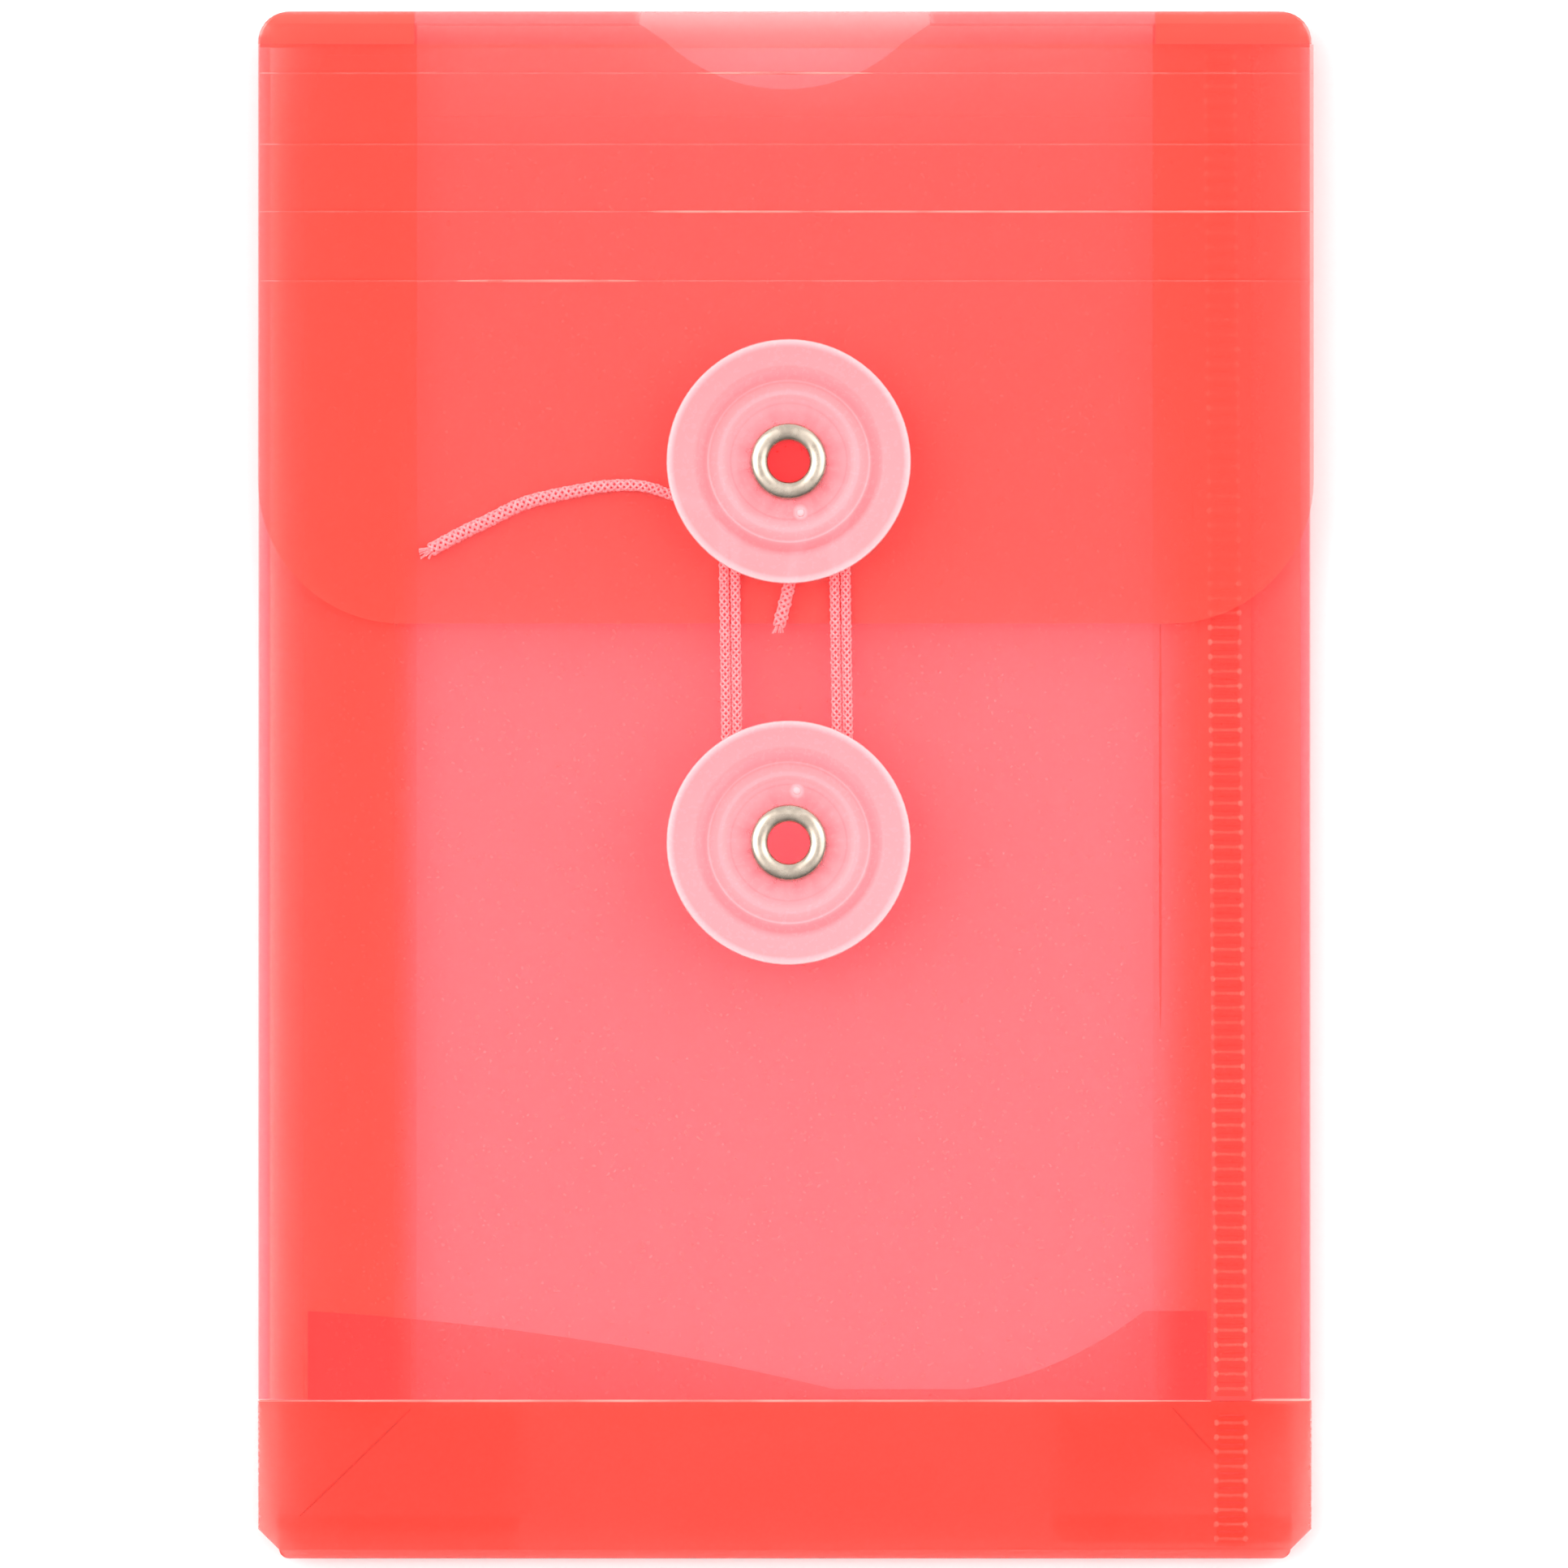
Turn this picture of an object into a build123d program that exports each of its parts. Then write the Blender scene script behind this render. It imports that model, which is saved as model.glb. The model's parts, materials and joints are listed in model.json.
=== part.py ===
"""A string tie envelope of translucent sheet plastic, lying on its back with its tied flap up.

The body is one scored blank, folded into a gusseted pocket and lap welded down the right of its front.
Each stretch of the blank between two folds is a node, and so is each rounded fold. Two round buttons
turn on hollow eyelets, and a string is tied under the upper one and wound twice round both.
X runs across the envelope, Y from its bottom to its flap fold, and Z up from the table. Millimetres.
"""
from build123d import *
from math import acos, asin, atan2, cos, degrees, hypot, pi, radians, sin, sqrt, tan
import numpy as np
import os

# Envelope
envelope_width = 107.95
envelope_length = 158.75
sheet = 0.4
fold_radius = 0.9  # of the middle of the sheet, at the gusset folds and the bottom fold
gusset_depth = 16.2  # how far a side gusset reaches in from the side
bottom_depth = 16.2  # from the bottom fold up to the crease
crease_clear = 0.15  # between the gussets and the lines where they end
corner_clip = 2.1  # cut off the bottom corners

# Front panel and its lap seam
front_edge_inset = 2.2  # of the mouth's edge, from the top of the flap fold
notch_width = 26.4
notch_depth = 5.9
seam_inset = 6.2  # from the right side to the front sheet's free edge
lap = 4.1
weld_height = 0.15

# Bottom closure
tuck_reach = 26.5  # in from the side
tuck_inset = 2.0
tuck_clear = 0.6
tuck_corner = 2.0
closure_left_inset = 5.1
closure_right_clear = 0.4
closure_high = 9.2
closure_low = 1.2
closure_clear = 0.5

# Flap
flap_gap = 0.9  # room for the eyelet's rolled end between flap and front
flap_length = 62.9
flap_corner = 14.7
first_score = 6.5
second_score = 13.8
third_score = 20.7
fourth_score = 27.8

# Buttons and eyelets
button_x = 0.4
upper_button_drop = 46.4  # from the top of the flap fold to the button's middle
lower_button_drop = 85.4
button_radius = 12.5
hub_radius = 3.9
hub_height = 2.9  # the string's room under the rim
flange = 1.1
rim_rise = 0.2
rim_bevel = 0.3
groove_depth = 0.25
step_depth = 0.3
floor_depth = 0.2
gate_radius = 0.35
gate_height = 0.15
gate_place = 5.4  # from the button's middle
upper_gate_turn = -77
lower_gate_turn = 81
hole_radius = 2.15
eyelet_wall = 0.3
eyelet_flange_radius = 3.9
eyelet_dome = 0.7
eyelet_rim = 0.25
clinch_radius = 3.5
clinch_height = 0.5
clinch_bevel = 0.2
running_clear = 0.05
grip_clear = 0.03  # round the eyelet in the sheet

# String
string = 0.95
turn_pitch = 1.4  # between neighbouring turns and layers
string_clear = 0.13  # round the hub
upper_turn_height = 0.8  # of the string's middle over the flap
lower_turn_height = 1.75  # of the string's middle over the front
lower_slack = 0.35  # how much wider each turn is at the lower button
exit_run = 7.4  # straight, from the last turn out under the button's rim
knot_radius = 0.8
least_gap = 0.4
# Where the free ends lie, as X and Y on the envelope and the height over the flap, from the photograph
long_tail_exit = (-11.4, 29.45, 1.85)
long_tail_points = (
    (-14.2, 30.6, 1.0),
    (-18.0, 30.65, 0.56),
    (-22.6, 29.8, 0.56),
    (-26.8, 28.85, 0.56),
    (-30.2, 27.05, 0.56),
    (-33.3, 25.65, 0.56),
    (-36.4, 23.9, 0.56),
)
short_tail_points = (
    (1.3, 24.2, 0.75),
    (0.5, 20.4, 0.7),
    (-0.6, 16.2, 0.72),
)
run_share = 0.45  # of the shorter run that each bend takes up
points_per_diameter = 5  # for measuring the winding against itself

# Button profile, from the middle out
groove_outer_share = 0.785
groove_middle_share = 0.755
groove_inner_share = 0.72
step_outer_share = 0.675
step_inner_share = 0.645
floor_outer_share = 0.545
floor_inner_share = 0.515
# Closure edge, across the width and up its height, from the photograph
closure_left_bend_shares = (0.35, 0.55)
closure_dip_start_share = 0.585
closure_dip_end_share = 0.735
closure_right_bend_shares = (0.845, 0.4)
closure_right_end_share = 0.93

# Worked out from the sizes above
half_width = envelope_width / 2
half_length = envelope_length / 2
half_sheet = sheet / 2
fold_outer = fold_radius + half_sheet
layer = 2 * fold_radius
back_mid = half_sheet
gusset_rear_mid = back_mid + layer
gusset_front_mid = gusset_rear_mid + layer
front_mid = gusset_front_mid + layer
front_under = front_mid - half_sheet
front_top = front_mid + half_sheet
flap_under = front_top + flap_gap
flap_mid = flap_under + half_sheet
flap_top = flap_under + sheet
side_axis_x = half_width - fold_outer
inner_axis_x = half_width - gusset_depth + fold_outer
crease_y = bottom_depth - half_length
top_fold_radius = (flap_mid - back_mid) / 2
top_axis_z = (flap_mid + back_mid) / 2
top_axis_y = half_length - top_fold_radius - half_sheet
front_edge_y = half_length - front_edge_inset
gusset_low_y = crease_y + crease_clear
gusset_high_y = top_axis_y - crease_clear
seam_right_x = half_width - seam_inset
seam_left_x = seam_right_x - lap
margin_mid = front_mid - sheet
upper_y = half_length - upper_button_drop
lower_y = half_length - lower_button_drop
barrel_radius = hole_radius + eyelet_wall
bottom_axis_y = fold_outer - half_length
bottom_axis_z = (back_mid + front_mid) / 2


def save(shape, name):
    """Writes one node."""
    export_step(shape, f"parts/{name}.step")


def slab(x_low, x_high, y_low, y_high, middle, thick=sheet):
    """A flat piece of sheet whose middle lies at one height."""
    place = Pos((x_low + x_high) / 2, (y_low + y_high) / 2, middle)
    return place * Box(x_high - x_low, y_high - y_low, thick)


def ring_sector(radius, start, sweep):
    """The section of a rounded fold, about its axis."""
    outer = CenterArc((0, 0), radius + half_sheet, start, sweep)
    inner = CenterArc((0, 0), radius - half_sheet, start, sweep)
    return make_face(outer + Line(outer @ 1, inner @ 1) + inner + Line(outer @ 0, inner @ 0))


def side_fold(x, z, radius, start):
    """A half-round fold along the envelope, from its upper end down."""
    plane = Plane(origin=(x, gusset_high_y, z), x_dir=(1, 0, 0), z_dir=(0, -1, 0))
    return extrude(plane * ring_sector(radius, start, 180), gusset_high_y - gusset_low_y)


def cross_fold(y, z, radius, start, sweep, half_reach):
    """A rounded fold across the envelope."""
    plane = Plane(origin=(-half_reach, y, z), x_dir=(0, 1, 0), z_dir=(1, 0, 0))
    return extrude(plane * ring_sector(radius, start, sweep), 2 * half_reach)


def eyelet_hole(y, z):
    """The round cut that an eyelet's barrel fills."""
    return Pos(button_x, y, z) * Cylinder(barrel_radius + grip_clear, 2 * sheet)


# Back and the two gussets
os.makedirs("parts", exist_ok=True)
save(slab(-side_axis_x, side_axis_x, crease_y, top_axis_y, back_mid), "back_panel")
for side, sign, outer_turn, inner_turn in (("left", -1, 90, -90), ("right", 1, -90, 90)):
    low_x, high_x = sorted((sign * inner_axis_x, sign * side_axis_x))
    for half, middle in (("rear", gusset_rear_mid), ("front", gusset_front_mid)):
        save(slab(low_x, high_x, gusset_low_y, gusset_high_y, middle), f"{side}_gusset_{half}")
    rear_axis_z = back_mid + fold_radius
    save(side_fold(sign * side_axis_x, rear_axis_z, fold_radius, outer_turn), f"{side}_rear_fold")
    inner_axis_z = gusset_rear_mid + fold_radius
    save(side_fold(sign * inner_axis_x, inner_axis_z, fold_radius, inner_turn), f"{side}_inner_fold")
save(side_fold(-side_axis_x, gusset_front_mid + fold_radius, fold_radius, 90), "left_front_fold")
margin_fold_radius = (margin_mid - gusset_front_mid) / 2
margin_axis_z = (margin_mid + gusset_front_mid) / 2
save(side_fold(side_axis_x, margin_axis_z, margin_fold_radius, -90), "right_front_fold")

# Front panel with its thumb notch, and the margin that its free edge is welded to
front = slab(-side_axis_x, seam_right_x, crease_y, front_edge_y, front_mid)
notch_radius = (notch_width**2 / 4 + notch_depth**2) / (2 * notch_depth)
notch_y = front_edge_y - notch_depth + notch_radius
front -= Pos(0, notch_y, front_mid) * Cylinder(notch_radius, 2 * sheet)
front -= eyelet_hole(lower_y, front_mid)
save(front, "front_panel")
save(slab(seam_left_x, side_axis_x, crease_y, front_edge_y, margin_mid), "front_margin")
weld_mid = front_top + weld_height / 2
save(slab(seam_left_x, seam_right_x, crease_y, front_edge_y, weld_mid, weld_height), "side_weld")

# Bottom bands: they lean together from the two creases to the bottom fold
crease_to_fold = hypot(crease_y - bottom_axis_y, bottom_axis_z - sheet)
fold_inner = fold_radius - half_sheet
fold_bearing = atan2(bottom_axis_z - sheet, crease_y - bottom_axis_y)
band_lean = degrees(fold_bearing - asin(fold_inner / crease_to_fold))
band_length = sqrt(crease_to_fold**2 - fold_inner**2)
# A band is drawn flat, with its crease on the X axis and its inner face at zero height
rear_place = Pos(0, crease_y, sheet) * Rot(-band_lean, 0, 0)
front_place = Pos(0, crease_y, front_under) * Rot(band_lean, 0, 0)
clipped_half = half_width - corner_clip
clipped_length = band_length - corner_clip
band_face = make_face(
    Polyline(
        (-half_width, 0),
        (half_width, 0),
        (half_width, -clipped_length),
        (clipped_half, -band_length),
        (-clipped_half, -band_length),
        (-half_width, -clipped_length),
        close=True,
    )
)
save(rear_place * Pos(0, 0, -sheet) * extrude(band_face, sheet), "bottom_rear_band")
save(front_place * extrude(band_face, sheet), "bottom_front_band")
band_weld = slab(seam_left_x, seam_right_x, -band_length, 0, sheet + weld_height / 2, weld_height)
save(front_place * band_weld, "bottom_weld")
bottom_sweep = 180 - 2 * band_lean
bottom_start = 90 + band_lean
bottom_axis = (bottom_axis_y, bottom_axis_z)
save(cross_fold(*bottom_axis, fold_radius, bottom_start, bottom_sweep, clipped_half), "bottom_fold")

# Closure: the rear sheet turns up inside the front band and ends in a wavy edge over the crease
lining = slab(-clipped_half, clipped_half, -band_length, -closure_clear, -half_sheet)
save(front_place * lining, "closure_band")
closure_left_x = closure_left_inset - half_width
closure_right_x = seam_left_x - closure_right_clear
closure_width = closure_right_x - closure_left_x
closure_rise = closure_high - closure_low
closure_base_y = crease_y + crease_clear


def closure_point(width_share, rise_share):
    """A point of the wavy edge."""
    x = closure_left_x + width_share * closure_width
    return (x, crease_y + closure_low + rise_share * closure_rise)


left_wave = ThreePointArc(
    closure_point(0, 1),
    closure_point(*closure_left_bend_shares),
    closure_point(closure_dip_start_share, 0),
)
right_wave = ThreePointArc(
    closure_point(closure_dip_end_share, 0),
    closure_point(*closure_right_bend_shares),
    closure_point(closure_right_end_share, 1),
)
closure_edge = left_wave + Line(left_wave @ 1, right_wave @ 0) + right_wave
closure_edge += Polyline(
    right_wave @ 1,
    (closure_right_x, crease_y + closure_high),
    (closure_right_x, closure_base_y),
    (closure_left_x, closure_base_y),
    left_wave @ 0,
)
save(Pos(0, 0, front_under - sheet) * extrude(make_face(closure_edge), sheet), "closure_tongue")
for side, sign in (("left", -1), ("right", 1)):
    low_x, high_x = sorted((sign * (half_width - tuck_inset), sign * (half_width - tuck_reach)))
    tuck = slab(low_x, high_x, tuck_clear - band_length, -tuck_clear, half_sheet)
    inner_edges = tuck.edges().filter_by(Axis.Z).sort_by(Axis.X)
    inner_edges = inner_edges[2:] if sign < 0 else inner_edges[:2]
    save(rear_place * fillet(inner_edges, tuck_corner), f"{side}_tuck")

# Flap: a fold over the mouth, four narrow strips between scores, and the buttoned tongue
top_fold = cross_fold(top_axis_y, top_axis_z, top_fold_radius, -90, 180, half_width)
save(top_fold, "top_fold")
strip_high_y = top_axis_y
for number, score in enumerate((first_score, second_score, third_score, fourth_score), 1):
    strip_low_y = half_length - score
    save(slab(-half_width, half_width, strip_low_y, strip_high_y, flap_mid), f"flap_strip_{number}")
    strip_high_y = strip_low_y
flap_end_y = half_length - flap_length
tongue = slab(-half_width, half_width, flap_end_y, strip_high_y, flap_mid)
tongue = fillet(tongue.edges().filter_by(Axis.Z).sort_by(Axis.Y)[:2], flap_corner)
save(tongue - eyelet_hole(upper_y, flap_mid), "flap_tongue")

# Buttons and eyelets
button_top = hub_height + rim_rise + flange
button_floor = button_top - step_depth - floor_depth
bore_radius = barrel_radius + running_clear


def button(y, base, gate_turn):
    """A moulded button over the sheet whose top is base: hub, ringed rim and the stub of its gate."""
    rim_inner = button_radius - rim_bevel
    outline = Polyline(
        (bore_radius, running_clear),
        (hub_radius, running_clear),
        (hub_radius, hub_height),
        (rim_inner, hub_height + rim_rise),
        (button_radius, hub_height + rim_rise + rim_bevel),
        (button_radius, button_top - rim_bevel),
        (rim_inner, button_top),
        (groove_outer_share * button_radius, button_top),
        (groove_middle_share * button_radius, button_top - groove_depth),
        (groove_inner_share * button_radius, button_top),
        (step_outer_share * button_radius, button_top),
        (step_inner_share * button_radius, button_top - step_depth),
        (floor_outer_share * button_radius, button_top - step_depth),
        (floor_inner_share * button_radius, button_floor),
        (bore_radius, button_floor),
        close=True,
    )
    disc = revolve(Plane.XZ * make_face(outline), Axis.Z)
    gate = Pos(0, 0, button_floor + gate_height / 2) * Cylinder(gate_radius, gate_height)
    disc += Rot(0, 0, gate_turn) * Pos(gate_place, 0, 0) * gate
    return Pos(button_x, y, base) * disc


def eyelet(y, base):
    """A hollow eyelet through a button and the sheet below it, rolled over at both ends."""
    under = -sheet
    flange_low = button_floor + running_clear
    rim_top = flange_low + eyelet_rim
    dome_middle = (hole_radius + eyelet_flange_radius) / 2
    dome = ThreePointArc(
        (eyelet_flange_radius, rim_top),
        (dome_middle, flange_low + eyelet_dome),
        (hole_radius, rim_top),
    )
    wall = Polyline(
        dome @ 1,
        (hole_radius, under - clinch_height),
        (clinch_radius - clinch_bevel, under - clinch_height),
        (clinch_radius, under - clinch_height + clinch_bevel),
        (clinch_radius, under),
        (barrel_radius, under),
        (barrel_radius, flange_low),
        (eyelet_flange_radius, flange_low),
        dome @ 0,
    )
    return Pos(button_x, y, base) * revolve(Plane.XZ * make_face(dome + wall), Axis.Z)


save(button(upper_y, flap_top, upper_gate_turn), "upper_button")
save(button(lower_y, front_top, lower_gate_turn), "lower_button")
save(eyelet(upper_y, flap_top), "upper_eyelet")
save(eyelet(lower_y, front_top), "lower_eyelet")

# String winding: clockwise turns in one plane, and a last turn that climbs over them and leaves leftwards
upper_middle = Vector(button_x, upper_y, flap_top + upper_turn_height)
lower_middle = Vector(button_x, lower_y, front_top + lower_turn_height)
along = (upper_middle - lower_middle).normalized()
between = (upper_middle - lower_middle).length
across = Vector(1, 0, 0)
out = across.cross(along)
first_turn = hub_radius + string_clear + string / 2
upper_turns = [first_turn + turn * turn_pitch for turn in range(3)]
lower_turns = [radius + lower_slack for radius in upper_turns[:2]]


def on_turn(middle, radius, angle, height=0):
    """A point of a turn, at an angle in radians from the X axis, over the winding's plane."""
    return middle + across * (radius * cos(angle)) + along * (radius * sin(angle)) + out * height


def heading(angle, slope=0):
    """Which way a clockwise turn runs at an angle."""
    return (across * sin(angle) - along * cos(angle) + out * slope).normalized()


def biarc(start, start_way, end, end_way):
    """Two arcs that leave and arrive along given directions."""
    span = end - start
    ways = start_way + end_way
    spread = 2 * (1 - start_way.dot(end_way))
    reach = (sqrt(span.dot(ways) ** 2 + spread * span.dot(span)) - span.dot(ways)) / spread
    first_corner = start + start_way * reach
    last_corner = end - end_way * reach
    joint = (first_corner + last_corner) * 0.5
    joint_way = (last_corner - first_corner).normalized()
    first = Edge.make_tangent_arc(start, start_way, joint)
    last = Edge.make_tangent_arc(joint, joint_way, end)
    return [first, last]


def turn(middle, radius, start, end, climb=0):
    """Arcs clockwise from one angle down to another, a quarter turn or less at a time, with a climb."""
    steps = int((start - end) / (pi / 2)) + 1
    arcs = []
    for step in range(steps):
        places = []
        for share in (step / steps, (step + 1) / steps):
            angle = start + (end - start) * share
            height = climb * share**2 * (3 - 2 * share)
            slope = climb * 6 * share * (1 - share) / (radius * (start - end))
            places += [on_turn(middle, radius, angle, height), heading(angle, slope)]
        arcs += biarc(*places)
    return arcs


def tangent_angle(upper_radius, lower_radius):
    """How far the strand between two turns swings from square to the line of the buttons."""
    return asin((lower_radius - upper_radius) / between)


first_point = on_turn(upper_middle, first_turn, -pi / 2)
edges = [Edge.make_line(first_point + across * string, first_point)]
upper_start = 1.5 * pi
for number, lower_radius in enumerate(lower_turns):
    down = tangent_angle(upper_turns[number], lower_radius)
    edges += turn(upper_middle, upper_turns[number], upper_start, down)
    edges.append(Edge.make_line(edges[-1] @ 1, on_turn(lower_middle, lower_radius, down)))
    up = tangent_angle(upper_turns[number + 1], lower_radius)
    edges += turn(lower_middle, lower_radius, down, -pi - up)
    upper_start = pi - up
    edges.append(Edge.make_line(edges[-1] @ 1, on_turn(upper_middle, upper_turns[number + 1], upper_start)))
last_turn = upper_turns[-1]
edges += turn(upper_middle, last_turn, upper_start, 0, turn_pitch)
exit_x = long_tail_exit[0] - button_x
exit_y = long_tail_exit[1] - upper_y
exit_angle = atan2(exit_y, exit_x) + acos(last_turn / hypot(exit_x, exit_y))
over_plane = upper_middle + out * turn_pitch
edges += turn(over_plane, last_turn, 0, exit_angle)
exit_start = edges[-1] @ 1
exit_end = exit_start + heading(exit_angle) * exit_run
edges.append(Edge.make_line(exit_start, exit_end))


def tube(path):
    """A round string along a path, with its volume told against its section times its length."""
    section = Plane(origin=path @ 0, z_dir=path % 0) * Circle(string / 2)
    solid = sweep(section, path=path)
    plain = pi * string**2 / 4 * path.length
    print(f"string length {path.length:.1f} mm, volume {solid.volume:.2f} of {plain:.2f} mm3")
    return solid


def self_gap(parts):
    """The least gap between stretches of the string that lie more than three diameters apart along it."""
    points = []
    for edge in parts:
        steps = int(edge.length / string * points_per_diameter) + 1
        points += [tuple(edge @ (step / steps)) for step in range(steps)]
    points = np.array(points)
    travelled = np.cumsum(np.linalg.norm(np.diff(points, axis=0, prepend=points[:1]), axis=1))
    apart = np.linalg.norm(points[:, None] - points[None], axis=2)
    return apart[travelled[None] - travelled[:, None] > 3 * string].min() - string


winding_path = Wire(edges)
print(f"winding least gap to itself {self_gap(edges):.3f} mm, wanted over {least_gap} mm")
save(tube(winding_path), "string_winding")
knot_middle = on_turn(upper_middle + across * (string + knot_radius), first_turn, -pi / 2)
save(Pos(knot_middle) * Sphere(knot_radius), "string_knot")


def tail(points):
    """A free end of the string: straight runs joined by the widest bends that they leave room for."""
    radii = []
    for before, corner, after in zip(points, points[1:], points[2:]):
        half_turn = (corner - before).get_angle(after - corner) / 2
        shorter = min((corner - before).length, (after - corner).length)
        radii.append(run_share * shorter / tan(radians(half_turn)))
    print("bend radii", [round(radius, 1) for radius in radii])
    return tube(FilletPolyline(*points, radius=radii))


def over_flap(place):
    """A point of a free end, from its X, Y and height over the flap."""
    return Vector(place[0], place[1], flap_top + place[2])


long_tail = [exit_end] + [over_flap(place) for place in (long_tail_exit, *long_tail_points)]
save(tail(long_tail), "string_long_tail")
knot_foot = knot_middle - along * knot_radius
save(tail([knot_foot] + [over_flap(place) for place in short_tail_points]), "string_short_tail")
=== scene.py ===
# %% [markdown]
# # A string tie envelope in translucent red sheet plastic
# The envelope is folded from one scored sheet and welded down its right side. Two moulded buttons turn on
# nickel eyelets, and a braided string is wound round both. The flat sheets keep their engineering solids and
# only get a finish. The folds, the flap, the weld, the buttons, the eyelets and the string are modelled here,
# because the eye reads the object by them.

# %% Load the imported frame
import bmesh
import bpy
import json
from math import acos, asin, atan2, ceil, cos, hypot, pi, radians, sin
from mathutils import Matrix, Vector


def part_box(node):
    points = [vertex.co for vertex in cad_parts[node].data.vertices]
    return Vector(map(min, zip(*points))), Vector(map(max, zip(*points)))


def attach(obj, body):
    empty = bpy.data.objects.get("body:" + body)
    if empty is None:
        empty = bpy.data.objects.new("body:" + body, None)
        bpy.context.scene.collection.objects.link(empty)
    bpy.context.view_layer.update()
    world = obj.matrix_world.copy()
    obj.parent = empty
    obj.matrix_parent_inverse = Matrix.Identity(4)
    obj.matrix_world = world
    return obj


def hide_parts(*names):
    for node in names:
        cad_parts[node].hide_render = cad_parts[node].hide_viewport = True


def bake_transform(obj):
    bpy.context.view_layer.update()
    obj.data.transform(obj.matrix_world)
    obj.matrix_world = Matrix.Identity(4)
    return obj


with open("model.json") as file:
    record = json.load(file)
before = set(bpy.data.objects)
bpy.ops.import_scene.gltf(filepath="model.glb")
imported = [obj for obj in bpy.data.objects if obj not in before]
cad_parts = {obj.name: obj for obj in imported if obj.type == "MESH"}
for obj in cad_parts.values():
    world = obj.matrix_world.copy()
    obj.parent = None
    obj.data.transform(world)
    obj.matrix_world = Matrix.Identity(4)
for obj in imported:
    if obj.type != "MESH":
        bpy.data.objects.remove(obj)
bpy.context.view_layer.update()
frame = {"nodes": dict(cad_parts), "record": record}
scene = bpy.context.scene
MM = 0.001
ROUNDING = 1e-6  # what sums may be off by

# %% [markdown]
# ## Camera
# The photograph looks almost straight down, from a little towards the bottom of the envelope. A long lens far
# away keeps the sides parallel, as they are there. One pixel of its 1932 is a twelfth of a millimetre.

# %% Camera
PIXELS = 1932
PIXELS_PER_MM = 12.02
ELEVATION = radians(89.2)
CAMERA_AWAY = 2.2
aim = Vector((-0.00008, 0.00004, 0.0055))
lens = bpy.data.cameras.new("camera")
lens.sensor_width = 36.0
lens.lens = lens.sensor_width * CAMERA_AWAY / (PIXELS / PIXELS_PER_MM * MM)
lens.clip_start = 0.1
camera = bpy.data.objects.new("camera", lens)
camera.location = aim + Vector((0, -cos(ELEVATION), sin(ELEVATION))) * CAMERA_AWAY
camera.rotation_euler = (pi / 2 - ELEVATION, 0, 0)
scene.collection.objects.link(camera)
scene.camera = camera
print("lens", round(lens.lens, 1), "mm")

# %% [markdown]
# ## Helpers
# Every colour is written as the sRGB value that a paint program shows, and one function turns it into the linear
# light that the shaders want. One more function feeds a node's inputs, and a third adds a node and sets it.

# %% Helpers for colours, nodes and pieces
SHEET = 0.4 * MM
MERGE = 1e-7


def linear(code):
    """An sRGB hex colour as linear red, green, blue and one."""
    parts = [int(code[place:place + 2], 16) / 255 for place in (1, 3, 5)]
    return (*[part / 12.92 if part <= 0.04045 else ((part + 0.055) / 1.055) ** 2.4 for part in parts], 1.0)


def feed(tree, node, feeds):
    """Gives a node's inputs their values, or links them to other nodes' outputs."""
    for name, value in feeds.items():
        if isinstance(value, bpy.types.NodeSocket):
            tree.links.new(value, node.inputs[name])
        else:
            node.inputs[name].default_value = value


def add(tree, kind, feeds=None, **settings):
    """A new node with its settings and with its inputs fed."""
    made = tree.nodes.new("ShaderNode" + kind)
    for name, value in settings.items():
        setattr(made, name, value)
    feed(tree, made, feeds or {})
    return made


def new_finish(name):
    """An empty material and its tree, with the surface node and the Object coordinates at hand."""
    finish = bpy.data.materials.new(name)
    finish.use_nodes = True
    tree = finish.node_tree
    tree.nodes.clear()
    surface = add(tree, "BsdfPrincipled")
    add(tree, "OutputMaterial", {"Surface": surface.outputs["BSDF"]})
    place = add(tree, "TexCoord").outputs["Object"]
    return finish, tree, surface, place


def make_piece(form, name, finishes, body, stands_for=(), sharp=35, ride=True, second=None):
    """Turns a bmesh into a piece at the origin that rides on a body.

    A rule may give some faces the second finish."""
    bmesh.ops.remove_doubles(form, verts=form.verts, dist=MERGE)
    bmesh.ops.recalc_face_normals(form, faces=form.faces)
    if second:
        for face in form.faces:
            face.material_index = int(second(face))
    open_edges = sum(len(edge.link_faces) != 2 for edge in form.edges)
    mesh = bpy.data.meshes.new(name)
    form.to_mesh(mesh)
    form.free()
    mesh.shade_smooth()
    mesh.set_sharp_from_angle(angle=radians(sharp))
    piece = bpy.data.objects.new(name, mesh)
    scene.collection.objects.link(piece)
    for finish in finishes:
        mesh.materials.append(finish)
    if ride:
        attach(piece, body)
    if stands_for:
        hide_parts(*stands_for)
    print(name, len(mesh.polygons), "faces,", open_edges, "open edges")
    return piece


def eased(value):
    """A smooth step from nought to one."""
    value = min(max(value, 0.0), 1.0)
    return value * value * (3 - 2 * value)


# %% [markdown]
# ## String: its route
# The string is one braided cord. It starts at the short end that hangs below the upper button, is knotted under
# it, runs clockwise twice round both buttons, climbs over its own turns and leaves to the left. The route is one
# smooth spline. Each turn is a ring of control points whose sides touch the turn, so the spline lies on it.

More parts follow.
